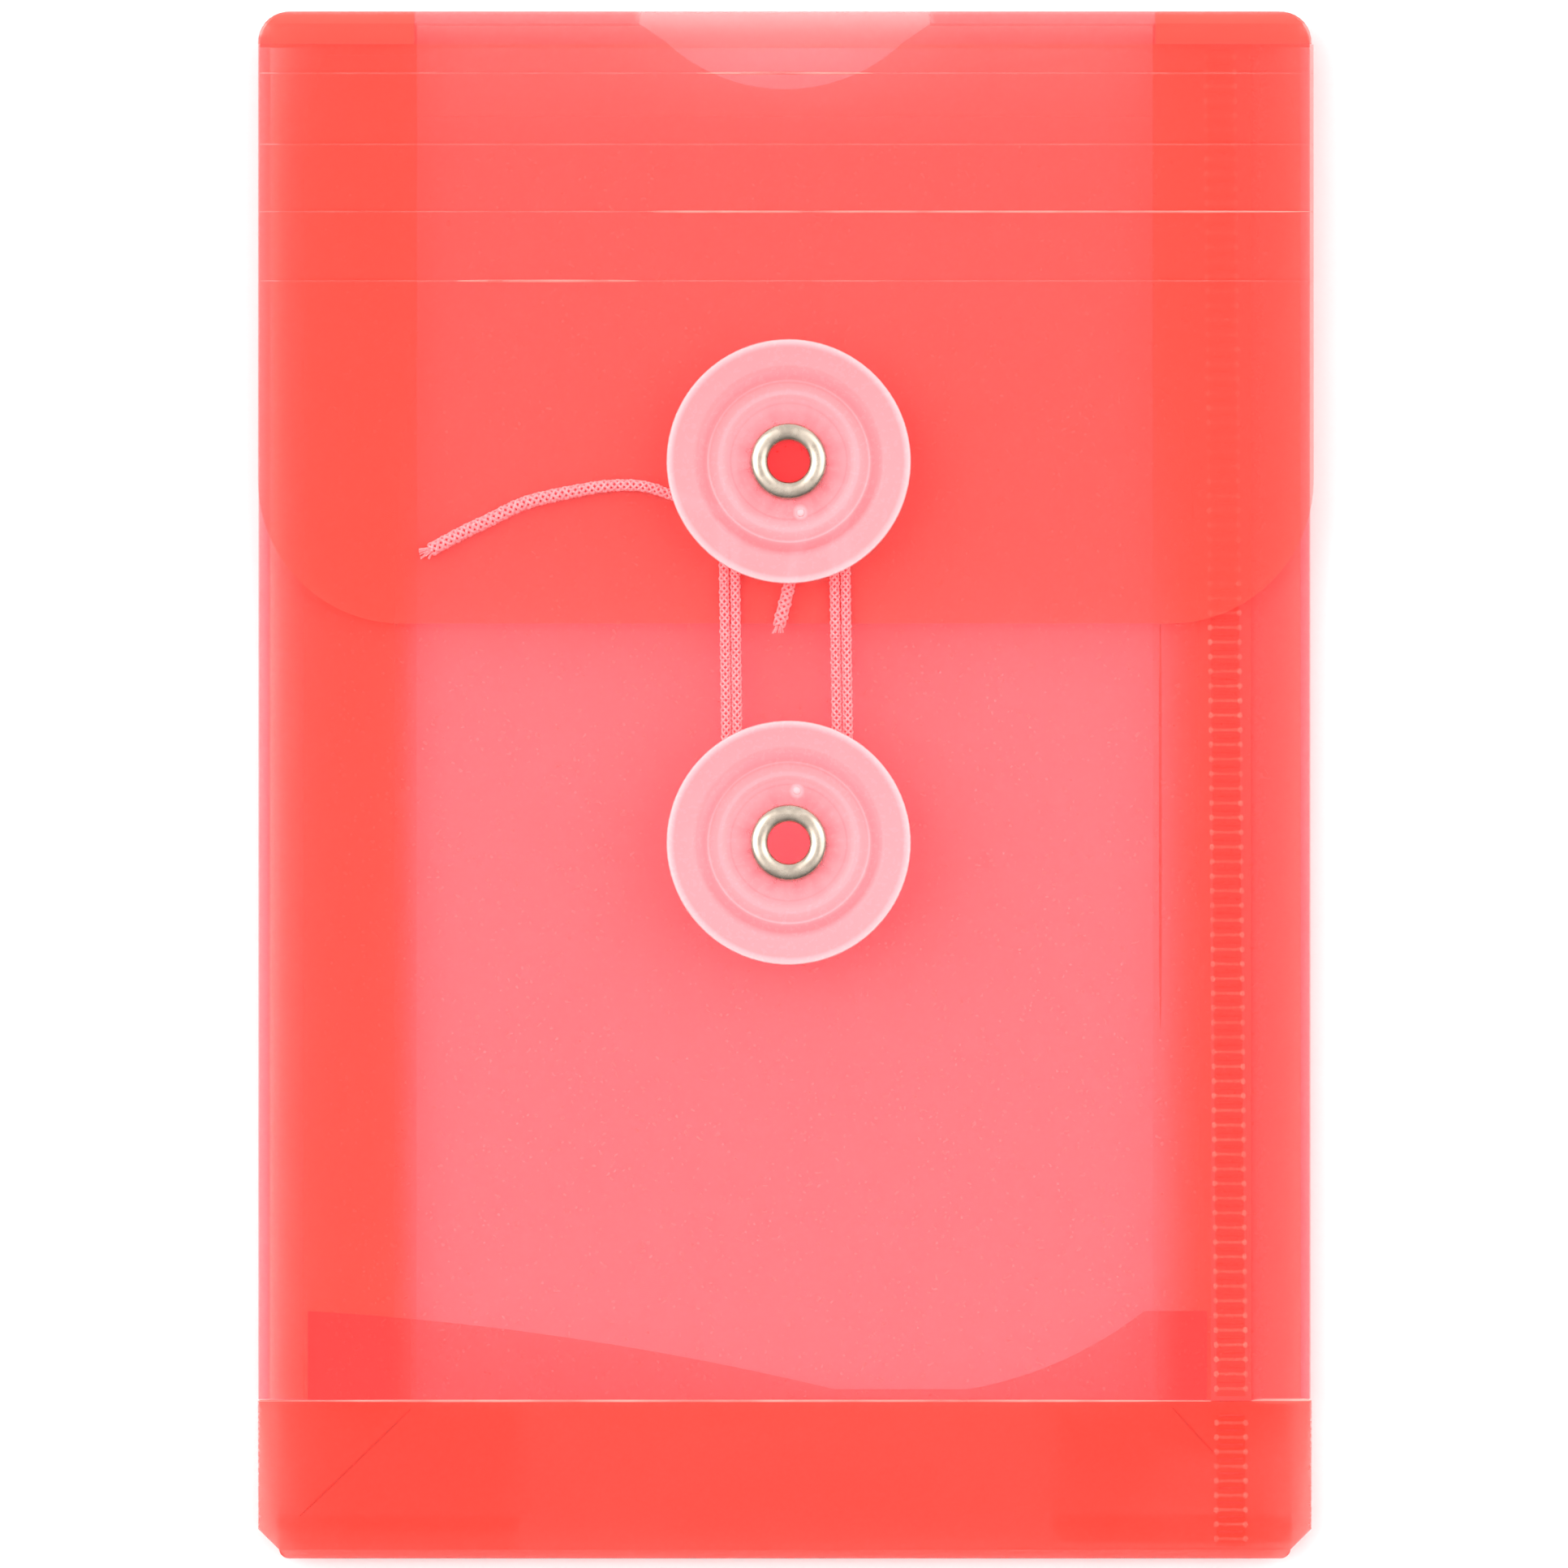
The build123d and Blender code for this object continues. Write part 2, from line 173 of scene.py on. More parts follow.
# %% Sizes of the string and where its ends lie, in millimetres across, up and over the flap
STRING = 0.95 * MM
HUB_RADIUS = 3.9 * MM
STRING_CLEAR = 0.13 * MM
TURN_PITCH = 1.14 * MM
LOWER_SLACK = 0.6 * MM
UPPER_HEIGHT, LOWER_HEIGHT = 0.8 * MM, 1.75 * MM
STRAIGHT_DIAMETERS = 6
STEP = radians(30)
BUTTON_X, UPPER_Y, LOWER_Y = 0.4 * MM, 32.975 * MM, -6.025 * MM
FLAP_TOP, FRONT_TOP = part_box("flap_tongue")[1][2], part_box("front_panel")[1][2]
FIRST_TURN = HUB_RADIUS + STRING_CLEAR + STRING / 2
SHORT_TAIL = ((-0.6, 16.2, 0.72), (0.5, 20.4, 0.7), (1.3, 24.2, 0.75))
INTO_KNOT = ((2.5, 27.0, 0.8), (2.6, 28.47, 0.8), (1.5, 28.47, 0.8))
LONG_TAIL = (
    (-11.4, 29.45, 1.85), (-14.2, 30.6, 1.0), (-18.0, 30.65, 0.72), (-22.6, 29.8, 0.72),
    (-26.8, 28.85, 0.72), (-30.2, 27.05, 0.72), (-33.3, 25.65, 0.72), (-36.4, 23.9, 0.72),
)
upper_middle = Vector((BUTTON_X, UPPER_Y, FLAP_TOP + UPPER_HEIGHT))
lower_middle = Vector((BUTTON_X, LOWER_Y, FRONT_TOP + LOWER_HEIGHT))
along = (upper_middle - lower_middle).normalized()
across = Vector((1, 0, 0))
out = across.cross(along)
apart = (upper_middle - lower_middle).length
print("buttons", round(apart / MM, 2), "mm apart along the string")


# %% Route of the string
def on_turn(middle, radius, angle, height=0.0):
    """A point of a turn."""
    return middle + across * (radius * cos(angle)) + along * (radius * sin(angle)) + out * height


def turn_points(middle, radius, start, end, low=0.0, high=0.0):
    """Control points clockwise round a button, at the corners of a polygon whose sides touch the turn."""
    steps = ceil((start - end) / STEP - ROUNDING)
    corner = radius / cos((start - end) / steps / 2)
    points = []
    for number in range(steps):
        share = (number + 0.5) / steps
        angle = start - (start - end) * share
        points.append(on_turn(middle, corner, angle, low + (high - low) * eased(share)))
    return points


def taut_run(start, end):
    """Two control points on a long straight strand, a few diameters from the buttons."""
    reach = (end - start).normalized() * STRAIGHT_DIAMETERS * STRING
    return [start + reach, end - reach]


def over_flap(x, y, height):
    """A point over the flap, in millimetres."""
    return Vector((x * MM, y * MM, FLAP_TOP + height * MM))


upper_turns = [FIRST_TURN + number * TURN_PITCH for number in range(3)]
route = [over_flap(*point) for point in SHORT_TAIL + INTO_KNOT]
start = 1.5 * pi
for radius, next_radius in zip(upper_turns, upper_turns[1:]):
    lower_radius = radius + LOWER_SLACK
    down = asin((lower_radius - radius) / apart)
    up = asin((lower_radius - next_radius) / apart)
    route += turn_points(upper_middle, radius, start, down)
    route += taut_run(on_turn(upper_middle, radius, down), on_turn(lower_middle, lower_radius, down))
    route += turn_points(lower_middle, lower_radius, down, -pi - up)
    start = pi - up
    route += taut_run(on_turn(lower_middle, lower_radius, start), on_turn(upper_middle, next_radius, start))
last_turn = upper_turns[-1]
route += turn_points(upper_middle, last_turn, start, 0, 0, TURN_PITCH)
exit_x, exit_y = LONG_TAIL[0][0] * MM - BUTTON_X, LONG_TAIL[0][1] * MM - UPPER_Y
leave = atan2(exit_y, exit_x) + acos(last_turn / hypot(exit_x, exit_y))
route += turn_points(upper_middle, last_turn, 0, leave, TURN_PITCH, TURN_PITCH)
route += [over_flap(*point) for point in LONG_TAIL]
print("string route", len(route), "control points")

# %% Spline through the route
SPLINE_FINENESS = 16


def mesh_of(curve):
    """The mesh that a curve gives. The curve itself is used up."""
    holder = bpy.data.objects.new(curve.name, curve)
    scene.collection.objects.link(holder)
    bpy.context.view_layer.update()
    mesh = bpy.data.meshes.new_from_object(holder.evaluated_get(bpy.context.evaluated_depsgraph_get()))
    bpy.data.objects.remove(holder)
    bpy.data.curves.remove(curve)
    return mesh


def read_spline(name, points, fineness):
    """The points along one smooth spline in its control points' polygon."""
    curve = bpy.data.curves.new(name, "CURVE")
    curve.dimensions = "3D"
    spline = curve.splines.new("NURBS")
    spline.points.add(len(points) - 1)
    for spot, point in zip(spline.points, points):
        spot.co = (*point, 1.0)
    spline.order_u = 3
    spline.use_endpoint_u = True
    spline.resolution_u = fineness
    mesh = mesh_of(curve)
    line = [vertex.co.copy() for vertex in mesh.vertices]
    bpy.data.meshes.remove(mesh)
    return line


string_line = read_spline("string_route", route, SPLINE_FINENESS)

# %% [markdown]
# ## String: finish
# The cord is dyed polyester, braided from bundles of filaments. Dyed fibre is matt, and a fine noise gives it the
# tones and the fuzz of filaments. In the photograph the gaps between the strands are red and not black, as if the
# fibres carried light into them. A weak red glow stands for that. It isn't sampled as a lamp, which would be slow.

# %% Dyed polyester braid
FIBRE = 0.25 * MM
FIBRE_GLOW = 0.35


def dyed_polyester(name, dark, light):
    """Matt dyed fibre between two tones, with a weak glow for the light in its gaps."""
    finish, tree, surface, place = new_finish(name)
    fibres = add(tree, "TexNoise", {"Vector": place, "Scale": 1 / FIBRE, "Detail": 3.0, "Roughness": 0.6})
    dye = add(tree, "ValToRGB", {"Fac": fibres.outputs["Fac"]})
    for stop, share, tone in zip(dye.color_ramp.elements, (0.3, 0.7), (dark, light)):
        stop.position, stop.color = share, linear(tone)
    fuzz = add(tree, "Bump", {"Height": fibres.outputs["Fac"], "Strength": 0.4, "Distance": 0.05 * MM})
    feed(tree, surface, {
        "Base Color": dye.outputs["Color"], "Normal": fuzz.outputs["Normal"], "Roughness": 0.75,
        "Sheen Weight": 0.3, "Emission Color": linear(dark), "Emission Strength": FIBRE_GLOW,
    })
    finish.cycles.emission_sampling = "NONE"
    return finish


string_finish = dyed_polyester("dyed_polyester_braid", "#EA6A70", "#FFA2A4")
# Painted shade: the core's darker tones stand for the shade in the hollows between the strands.
core_shade_finish = dyed_polyester("polyester_core_painted_shade", "#BE3640", "#CC464E")
print("finishes", string_finish.name, core_shade_finish.name)

# %% [markdown]
# ## String: braid
# A round braid has as many strands turning left as right, and each passes over and under those that cross it.
# Each strand follows the route at a small distance that swells and shrinks, so the crossings can be seen, and a
# darker core shows between them. The core's darker tones are painted shade, for the hollows between the strands.
# The tied stretches are pulled thin, and the two loose ends swell. The braid has the coarse pitch that the eye
# finds in the photograph, because a finer one wouldn't show in the render.

# %% Lines for the strands
SPACING = 0.2 * MM


def carried_frames(line):
    """For each point of a line, two directions square to it that turn no more than the line does."""
    ahead = (line[1] - line[0]).normalized()
    side = ahead.orthogonal().normalized()
    frames = []
    for number, point in enumerate(line):
        before, after = line[max(number - 1, 0)], line[min(number + 1, len(line) - 1)]
        way = (after - before).normalized()
        side = (ahead.rotation_difference(way) @ side).normalized()
        ahead = way
        frames.append((point, side, way.cross(side)))
    return frames


def even_line(line, spacing):
    """Points read from the spline at an even spacing, for the strands to follow."""
    kept, travelled = [line[0]], 0.0
    for before, after in zip(line, line[1:]):
        stretch = (after - before).length
        while stretch > 0 and travelled + stretch >= spacing:
            before = before.lerp(after, (spacing - travelled) / stretch)
            kept.append(before)
            stretch, travelled = (after - before).length, 0.0
        travelled += stretch
    return kept


def tubes(name, lines, radius, sides, swell=None, form=None):
    """Round tubes along several lines, as one mesh. A list of factors may make them thicker on the way."""
    curve = bpy.data.curves.new(name, "CURVE")
    curve.dimensions = "3D"
    curve.bevel_depth = radius
    curve.bevel_resolution = sides
    curve.use_fill_caps = True
    for line in lines:
        spline = curve.splines.new("POLY")
        spline.points.add(len(line) - 1)
        for number, (spot, point) in enumerate(zip(spline.points, line)):
            spot.co = (*point, 1.0)
            spot.radius = swell[number] if swell else 1.0
    mesh = mesh_of(curve)
    form = form or bmesh.new()
    form.from_mesh(mesh)
    bpy.data.meshes.remove(mesh)
    return form


string_points = even_line(string_line, SPACING)
string_frames = carried_frames(string_points)
print("strands follow", len(string_points), "points")

# %% Braided strands
STRANDS_EACH_WAY = 4
BRAID_PITCH = 2.7 * MM
STRAND = 0.12 * MM
BRAID_RADIUS = 0.42 * MM
BRAID_WAVE = 0.05 * MM
CORE = 0.36 * MM
TAIL_SWELL = 0.32
SHORT_SWELL = 11 * MM
LONG_SWELL, LONG_SWELL_FADE = 10 * MM, 20 * MM
STRING_SHARP = 80
swell = []
for count in range(len(string_points)):
    from_start, from_end = count * SPACING, (len(string_points) - 1 - count) * SPACING
    slack = eased(1 - from_start / SHORT_SWELL) + eased(1 - (from_end - LONG_SWELL) / LONG_SWELL_FADE)
    swell.append(1 + TAIL_SWELL * slack)
strands = []
for way in (1, -1):
    for number in range(STRANDS_EACH_WAY):
        strand = []
        for count, (point, side, up_way) in enumerate(string_frames):
            turns = count * SPACING / BRAID_PITCH
            turn = way * 2 * pi * (turns + number / STRANDS_EACH_WAY)
            wave = way * cos(2 * STRANDS_EACH_WAY * pi * turns + number * pi)
            reach = (BRAID_RADIUS + BRAID_WAVE * wave) * swell[count]
            strand.append(point + side * (reach * cos(turn)) + up_way * (reach * sin(turn)))
        strands.append(strand)
form = tubes("string_core", [string_points], CORE, 1, swell)
for face in form.faces:
    face.material_index = 1
form = tubes("string", strands, STRAND, 1, swell, form)
string = make_piece(
    form, "string", [string_finish, core_shade_finish], "flap",
    ("string_winding", "string_long_tail", "string_short_tail"), sharp=STRING_SHARP,
)

# %% [markdown]
# ## String: knot and frayed ends
# The knot is a small overhand loop under the button, where the string is tied round the hub. Both cut ends have
# opened into single filaments.

# %% Knot
KNOT_ASIDE = 0.8 * MM
KNOT_SIZE = 0.17 * MM
KNOT_STRAND = 0.24 * MM
KNOT_STEPS, KNOT_FINENESS = 12, 8
knot_middle = Vector((BUTTON_X + STRING + KNOT_ASIDE, upper_middle.y - FIRST_TURN, upper_middle.z))
knot_points = []
for number in range(KNOT_STEPS + 1):
    angle = 2 * pi * number / KNOT_STEPS
    loop = Vector((sin(angle) + 2 * sin(2 * angle), cos(angle) - 2 * cos(2 * angle), -sin(3 * angle)))
    knot_points.append(knot_middle + loop * KNOT_SIZE)
knot_line = read_spline("knot_route", knot_points, KNOT_FINENESS)
knot = make_piece(
    tubes("string_tie", [knot_line], KNOT_STRAND, 2), "string_tie", [string_finish], "flap",
    ("string_knot",), sharp=STRING_SHARP,
)

# %% Frayed ends
FILAMENT = 0.055 * MM
FILAMENT_TURN = 2.4  # radians from one filament to the next
FILAMENT_SINK, FILAMENT_ASIDE, FILAMENT_LOWEST = 0.3 * MM, 0.25 * MM, 0.07 * MM
SPREAD_FROM, SPREAD_BY, SPREAD_STEP = 0.12, 0.5, 0.618
REACH_FROM, REACH_BY, REACH_STEP = 0.55, 0.45, 0.382
BEND_AT, BEND_SPREAD = 0.45, 0.25
END_POINTS = 6


def frayed_end(name, line, count, length):
    """Filaments that splay out of the end of a line."""
    tip, way = line[0], (line[0] - line[END_POINTS]).normalized()
    side = way.orthogonal().normalized()
    lift = way.cross(side)
    filaments = []
    for number in range(count):
        turn = FILAMENT_TURN * number
        spread = SPREAD_FROM + SPREAD_BY * ((number * SPREAD_STEP) % 1.0)
        reach = length * (REACH_FROM + REACH_BY * ((number * REACH_STEP) % 1.0))
        sideways = side * cos(turn) + lift * sin(turn)
        root = tip - way * FILAMENT_SINK + sideways * FILAMENT_ASIDE
        bend = root + way * reach * BEND_AT + sideways * reach * spread * BEND_SPREAD
        end = root + (way + sideways * spread).normalized() * reach
        lowest = FLAP_TOP + FILAMENT_LOWEST
        spots = [Vector((spot.x, spot.y, max(spot.z, lowest))) for spot in (root, bend, end)]
        filaments.append(read_spline("filament_route", spots, 5))
    form = tubes(name, filaments, FILAMENT, 1)
    return make_piece(form, name, [string_finish], "flap", sharp=STRING_SHARP)


short_fray = frayed_end("string_short_fray", string_points, 16, 1.3 * MM)
long_fray = frayed_end("string_long_fray", string_points[::-1], 18, 1.7 * MM)

# %% [markdown]
# ## Sheet: finish
# The sheet is translucent polypropylene, extruded with a fine matt face. It sends back red light and lets the rest
# of the light through, so each layer that lies under another deepens the red. Each sheet is a closed solid, and its
# outer face alone carries the colour of the whole thickness. Its inner face is left clear, because many layers lie
# over each other here, and a ray that meets half as many of them is traced much sooner. Near a rounded fold more
# light gets in from the side, and that is painted light here: the sheet is made more see-through towards its sides
# and its head, so the edges are paler.
#
# Two places need more. The bottom of an eyelet's hole is bright red in the photograph, as if the sheet carried
# light there, and a small red glow stands for that. The top fold hides where the layers behind it end, so it is
# fuller beside the notch, and at its two ends it is also warmer, like the gussets there.

# %% Places where the sheet's look changes
SHEET_COVER = 0.46
HALF_WIDTH = 53.975 * MM
MOUTH_EDGE, CORNER_Y, NOTCH_HALF = 78.0 * MM, 76.8 * MM, 14.9 * MM
# Painted light: near the side folds and the top fold the sheet is made more see-through, so it shows paler there.
SIDE_PAINTED_LIGHT, SIDE_CURVE = (47.0 * MM, 54.0 * MM), 1.5
HEAD_PAINTED_LIGHT = (66 * MM, 78 * MM)
# Partly painted light: a sheet fades out towards a gusset's inner fold. The soft edge stands for the gentle curve
# of the fold and the light scattered through the sheet over it.
GUSSET_INNER = 37.4 * MM
GUSSET_SHARPENS = (15 * MM, 45 * MM)
LIP = (MOUTH_EDGE - 0.02 * MM, MOUTH_EDGE + 0.04 * MM)
BESIDE_NOTCH = (NOTCH_HALF - 0.2 * MM, NOTCH_HALF + 0.6 * MM)
TOP_FOLD_FOOT, TOP_FOLD_ENDS = (75.8 * MM, 75.9 * MM), (37.9 * MM, 38.1 * MM)
ENDS_FULLER, ENDS_TONE = 1.5, "#FF5448"
HOLE_GLOW, HOLE_GLOW_TONE, HOLE_REACH = 0.8, "#FF1008", (2.6 * MM, 2.0 * MM)
GRIT = 0.4 * MM
print("sheet stops", SHEET_COVER, "of the light in one layer")


# %% Translucent polypropylene sheet
def polypropylene(
    name, tone, cover=SHEET_COVER, sides=0.3, head=1.0, inner_fade=None, mouth=0.0, hole_y=None, tooth=True,
):
    """Translucent red sheet: its colour and the share of light that it stops.

    sides and head are how much of that is left at the sides and at the head. inner_fade is what is left at the
    inner edge of a gusset, and where the gusset is full, in millimetres. mouth fills the top fold, hole_y is
    where an eyelet's hole is lit, and sheets that lie outside show the tooth of their matt face."""
    finish, tree, surface, place = new_finish(name)
    axes = add(tree, "SeparateXYZ", {"Vector": place})
    height = axes.outputs["Y"]
    from_middle = add(tree, "Math", {0: axes.outputs["X"]}, operation="ABSOLUTE").outputs[0]
    # Painted light: the share of light stopped falls towards the sides here, and towards the head below.
    low, high = SIDE_PAINTED_LIGHT
    edge = add(tree, "MapRange", {"Value": from_middle, "From Min": low, "From Max": high}).outputs[0]
    edge = add(tree, "Math", {0: edge, 1: SIDE_CURVE}, operation="POWER").outputs[0]
    shown = add(tree, "MapRange", {"Value": edge, "To Min": cover, "To Max": cover * sides}).outputs[0]
    if head != 1.0:
        low, high = HEAD_PAINTED_LIGHT
        fading = {"Value": height, "From Min": low, "From Max": high, "To Min": 1.0, "To Max": head}
        top = add(tree, "MapRange", fading).outputs[0]
        shown = add(tree, "Math", {0: shown, 1: top}, operation="MULTIPLY").outputs[0]
    # Partly painted light: this fade stands for the curve of the inner fold and the light scattered over it.
    if inner_fade:
        faded, fade_end = inner_fade
        low, high = GUSSET_SHARPENS
        fading = {"Value": height, "From Min": low, "From Max": high, "To Min": faded, "To Max": 1.0}
        sharper = add(tree, "MapRange", fading).outputs[0]
        fading = {"Value": from_middle, "From Min": GUSSET_INNER, "From Max": fade_end * MM, "To Min": sharper}
        inside = add(tree, "MapRange", fading, interpolation_type="SMOOTHSTEP").outputs[0]
        shown = add(tree, "Math", {0: shown, 1: inside}, operation="MULTIPLY").outputs[0]
    if mouth:
        masks = []
        spans = ((height, LIP), (from_middle, BESIDE_NOTCH), (height, TOP_FOLD_FOOT), (from_middle, TOP_FOLD_ENDS))
        for value, (low, high) in spans:
            masks.append(add(tree, "MapRange", {"Value": value, "From Min": low, "From Max": high}).outputs[0])
        lip, beside, over, outer = masks
        lip = add(tree, "Math", {0: lip, 1: mouth}, operation="MULTIPLY").outputs[0]
        ends = add(tree, "Math", {0: over, 1: outer}, operation="MULTIPLY").outputs[0]
        fuller = {0: ends, 1: ENDS_FULLER * mouth, 2: shown}
        shown = add(tree, "Math", fuller, operation="MULTIPLY_ADD").outputs[0]
        shown = add(tree, "Math", {0: lip, 1: beside, 2: shown}, operation="MULTIPLY_ADD").outputs[0]
    if hole_y is not None:
        far, near = HOLE_REACH
        flat = add(tree, "VectorMath", {0: place, 1: (1, 1, 0)}, operation="MULTIPLY").outputs["Vector"]
        hole = {0: flat, 1: (BUTTON_X, hole_y, 0)}
        away = add(tree, "VectorMath", hole, operation="DISTANCE").outputs["Value"]
        lit = {"Value": away, "From Min": far, "From Max": near, "To Max": HOLE_GLOW}
        glow = add(tree, "MapRange", lit).outputs[0]
        feed(tree, surface, {"Emission Color": linear(HOLE_GLOW_TONE), "Emission Strength": glow})
        finish.cycles.emission_sampling = "NONE"
    feed(tree, surface, {
        "Alpha": shown, "Base Color": linear(tone), "Roughness": 0.42, "IOR": 1.49,
        "Specular IOR Level": 0.14 if tooth else 0.0,
    })
    if tooth:
        grit = add(tree, "TexNoise", {"Vector": place, "Scale": 1 / GRIT, "Detail": 0.0}).outputs["Fac"]
        deeper = tuple(channel * 0.9 for channel in linear(tone)[:3]) + (1.0,)
        colour = add(tree, "Mix", {0: grit, 6: linear(tone), 7: deeper}, data_type="RGBA").outputs[2]
        if mouth:
            warmer = {0: ends, 6: colour, 7: linear(ENDS_TONE)}
            colour = add(tree, "Mix", warmer, data_type="RGBA").outputs[2]
        rough = add(tree, "MapRange", {"Value": grit, "To Min": 0.34, "To Max": 0.5}).outputs[0]
        bump = add(tree, "Bump", {"Height": grit, "Strength": 0.06, "Distance": 0.04 * MM}).outputs["Normal"]
        feed(tree, surface, {"Base Color": colour, "Roughness": rough, "Normal": bump})
    return finish


# %% Finishes of the sheets, one for each place in the folded blank
front_finish = polypropylene("polypropylene_front", "#FF5852", sides=0.34, head=0.9, hole_y=UPPER_Y)
margin_finish = polypropylene("polypropylene_margin", "#FF6466", sides=0.85)
flap_finish = polypropylene("polypropylene_flap", "#FF584A", sides=1.0, head=0.88)
top_finish = polypropylene("polypropylene_top_fold", "#FF5656", sides=0.8, head=0.88, mouth=0.2)
back_finish = polypropylene("polypropylene_back", "#FF5A84", sides=0.3, head=0.7, hole_y=LOWER_Y, tooth=False)
left_gusset_finish = polypropylene(
    "polypropylene_left_gusset", "#FF563A", cover=0.55, sides=0.24, head=0.8, inner_fade=(0.12, 41.0), tooth=False,
)
right_gusset_finish = polypropylene(
    "polypropylene_right_gusset", "#FF583E", cover=0.53, sides=0.85, head=0.9, inner_fade=(0.1, 44.0), tooth=False,
)
side_finish = polypropylene("polypropylene_side_fold", "#FF5B66", sides=0.58, tooth=False)
bottom_finish = polypropylene("polypropylene_bottom", "#FF4536", cover=0.57, sides=0.85)
tuck_finish = polypropylene("polypropylene_tuck", "#FF4634", cover=0.36, sides=0.85, tooth=False)
closure_finish = polypropylene(
    "polypropylene_closure", "#FF2430", cover=0.98, sides=0.6, inner_fade=(0.43, 41.5), tooth=False,
)
clear_finish = bpy.data.materials.new("clear_inner_face")
clear_finish.use_nodes = True
clear_finish.node_tree.nodes.clear()
clear_face = add(clear_finish.node_tree, "BsdfTransparent")
add(clear_finish.node_tree, "OutputMaterial", {"Surface": clear_face.outputs["BSDF"]})
print("front finish has", len(front_finish.node_tree.nodes), "nodes")

# %% Which faces of a sheet are clear
FACES_AWAY = -0.5
FACES_ALONG = 0.9


def faces_down(face):
    """True for the underside of a sheet."""
    return face.normal.z < FACES_AWAY


def faces_down_or_fold(face):
    """True for the underside of a sheet and for the long edges where a fold carries it on."""
    return faces_down(face) or abs(face.normal.x) > FACES_ALONG


def faces_axis(y_axis, spot):
    """A rule that is true for the inside and the two joints of a fold round an axis along Y or along X."""
    def inside(face):
        away = face.calc_center_median() - spot
        if y_axis:
            away.y = 0
            joint = abs(away.x) < ROUNDING
        else:
            away.x = 0
            joint = abs(away.y) < ROUNDING
        return joint or away.normalized().dot(face.normal) < FACES_AWAY
    return inside


# %% Sheets that keep the shape of their solids
LEVEL_WITHIN = radians(0.5)
body_with = {node: body for body, nodes in frame["record"]["behaviour"]["bodies"].items() for node in nodes}
mouth_sheets = ["front_panel", "front_margin", "left_inner_fold", "right_inner_fold"]
mouth_sheets += ["left_gusset_rear", "right_gusset_rear"]
mouth_top = {node: MOUTH_EDGE for node in mouth_sheets}
mouth_top |= {"left_front_fold": CORNER_Y, "right_front_fold": CORNER_Y}


def merged_copy(node):
    """A solid's mesh with its triangles merged into whole faces, and its mouth pushed up into the top fold."""
    form = bmesh.new()
    form.from_mesh(frame["nodes"][node].data)
    bmesh.ops.remove_doubles(form, verts=form.verts, dist=ROUNDING)
    bmesh.ops.dissolve_limit(form, angle_limit=LEVEL_WITHIN, verts=list(form.verts), edges=list(form.edges))
    mouth_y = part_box(node)[1][1]
    for vertex in form.verts:
        if node in mouth_top and vertex.co.y > mouth_y - 0.01 * MM:
            vertex.co.y = mouth_top[node]
            if abs(vertex.co.x) < NOTCH_HALF:
                vertex.co.x = NOTCH_HALF if vertex.co.x > 0 else -NOTCH_HALF
    return form


def dressed_sheet(node, finish, clear, form=None):
    """A flat solid with its inner faces clear."""
    form = form or merged_copy(node)
    finishes = [finish, clear_finish]
    return make_piece(form, node + "_sheet", finishes, body_with[node], (node,), second=clear)


def round_ends(form, radius, past_edge):
    """Draws in the two ends of a fold along X, by how far each point lies past the start of the rounding."""
    for vertex in form.verts:
        past = max(past_edge(vertex.co.y), 0.0)
        inset = radius - max(radius**2 - past**2, 0.0) ** 0.5
        vertex.co.x -= inset if vertex.co.x > 0 else -inset


flat_sheets = {
    back_finish: ("back_panel",),
    front_finish: ("front_panel",),
    margin_finish: ("front_margin",),
    left_gusset_finish: ("left_gusset_rear", "left_gusset_front"),
    right_gusset_finish: ("right_gusset_rear", "right_gusset_front"),
    bottom_finish: ("bottom_rear_band", "bottom_front_band"),
    closure_finish: ("closure_tongue",),
    tuck_finish: ("closure_band", "left_tuck", "right_tuck"),
}
for finish, nodes in flat_sheets.items():
    for node in nodes:
        folded = "gusset" in node or node == "back_panel"
        dressed_sheet(node, finish, faces_down_or_fold if folded else faces_down)
low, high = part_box("right_front_fold")
fold_axis = Vector((low[0], 0, (low[2] + high[2]) / 2))
dressed_sheet("right_front_fold", side_finish, faces_axis(True, fold_axis))
low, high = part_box("bottom_fold")
fold_round = (high[2] - low[2]) / 2
fold_start = low[1] + fold_round
form = merged_copy("bottom_fold")
round_ends(form, fold_round, lambda y: fold_start - y)
fold_axis = Vector((0, fold_start, (low[2] + high[2]) / 2))
dressed_sheet("bottom_fold", bottom_finish, faces_axis(False, fold_axis), form)

# %% [markdown]
# ## Rounded folds
# Each fold is a half-round strip of the same sheet. The end of the strip is one small face, spun about the fold's
# axis, which gives a closed solid.

# %% Side folds
FOLD_STEPS = 18


def rolled_fold(corners, middle, axis, angle):
    """A strip made by spinning its end face about the fold's axis."""
    form = bmesh.new()
    end = form.faces.new([form.verts.new(corner) for corner in corners])
    bmesh.ops.spin(
        form, geom=[end, *end.edges, *end.verts], cent=middle, axis=axis, angle=angle, steps=FOLD_STEPS,
        use_merge=False, use_duplicate=False,
    )
    return form


def fold_strip(form, name, node, finish, axis_rule, body_below):
    """A rolled strip as a piece that stays where it is built, on no body."""
    strip = make_piece(
        form, name, [finish, clear_finish], body_below, (node,), ride=False, second=axis_rule,
    )
    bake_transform(strip)


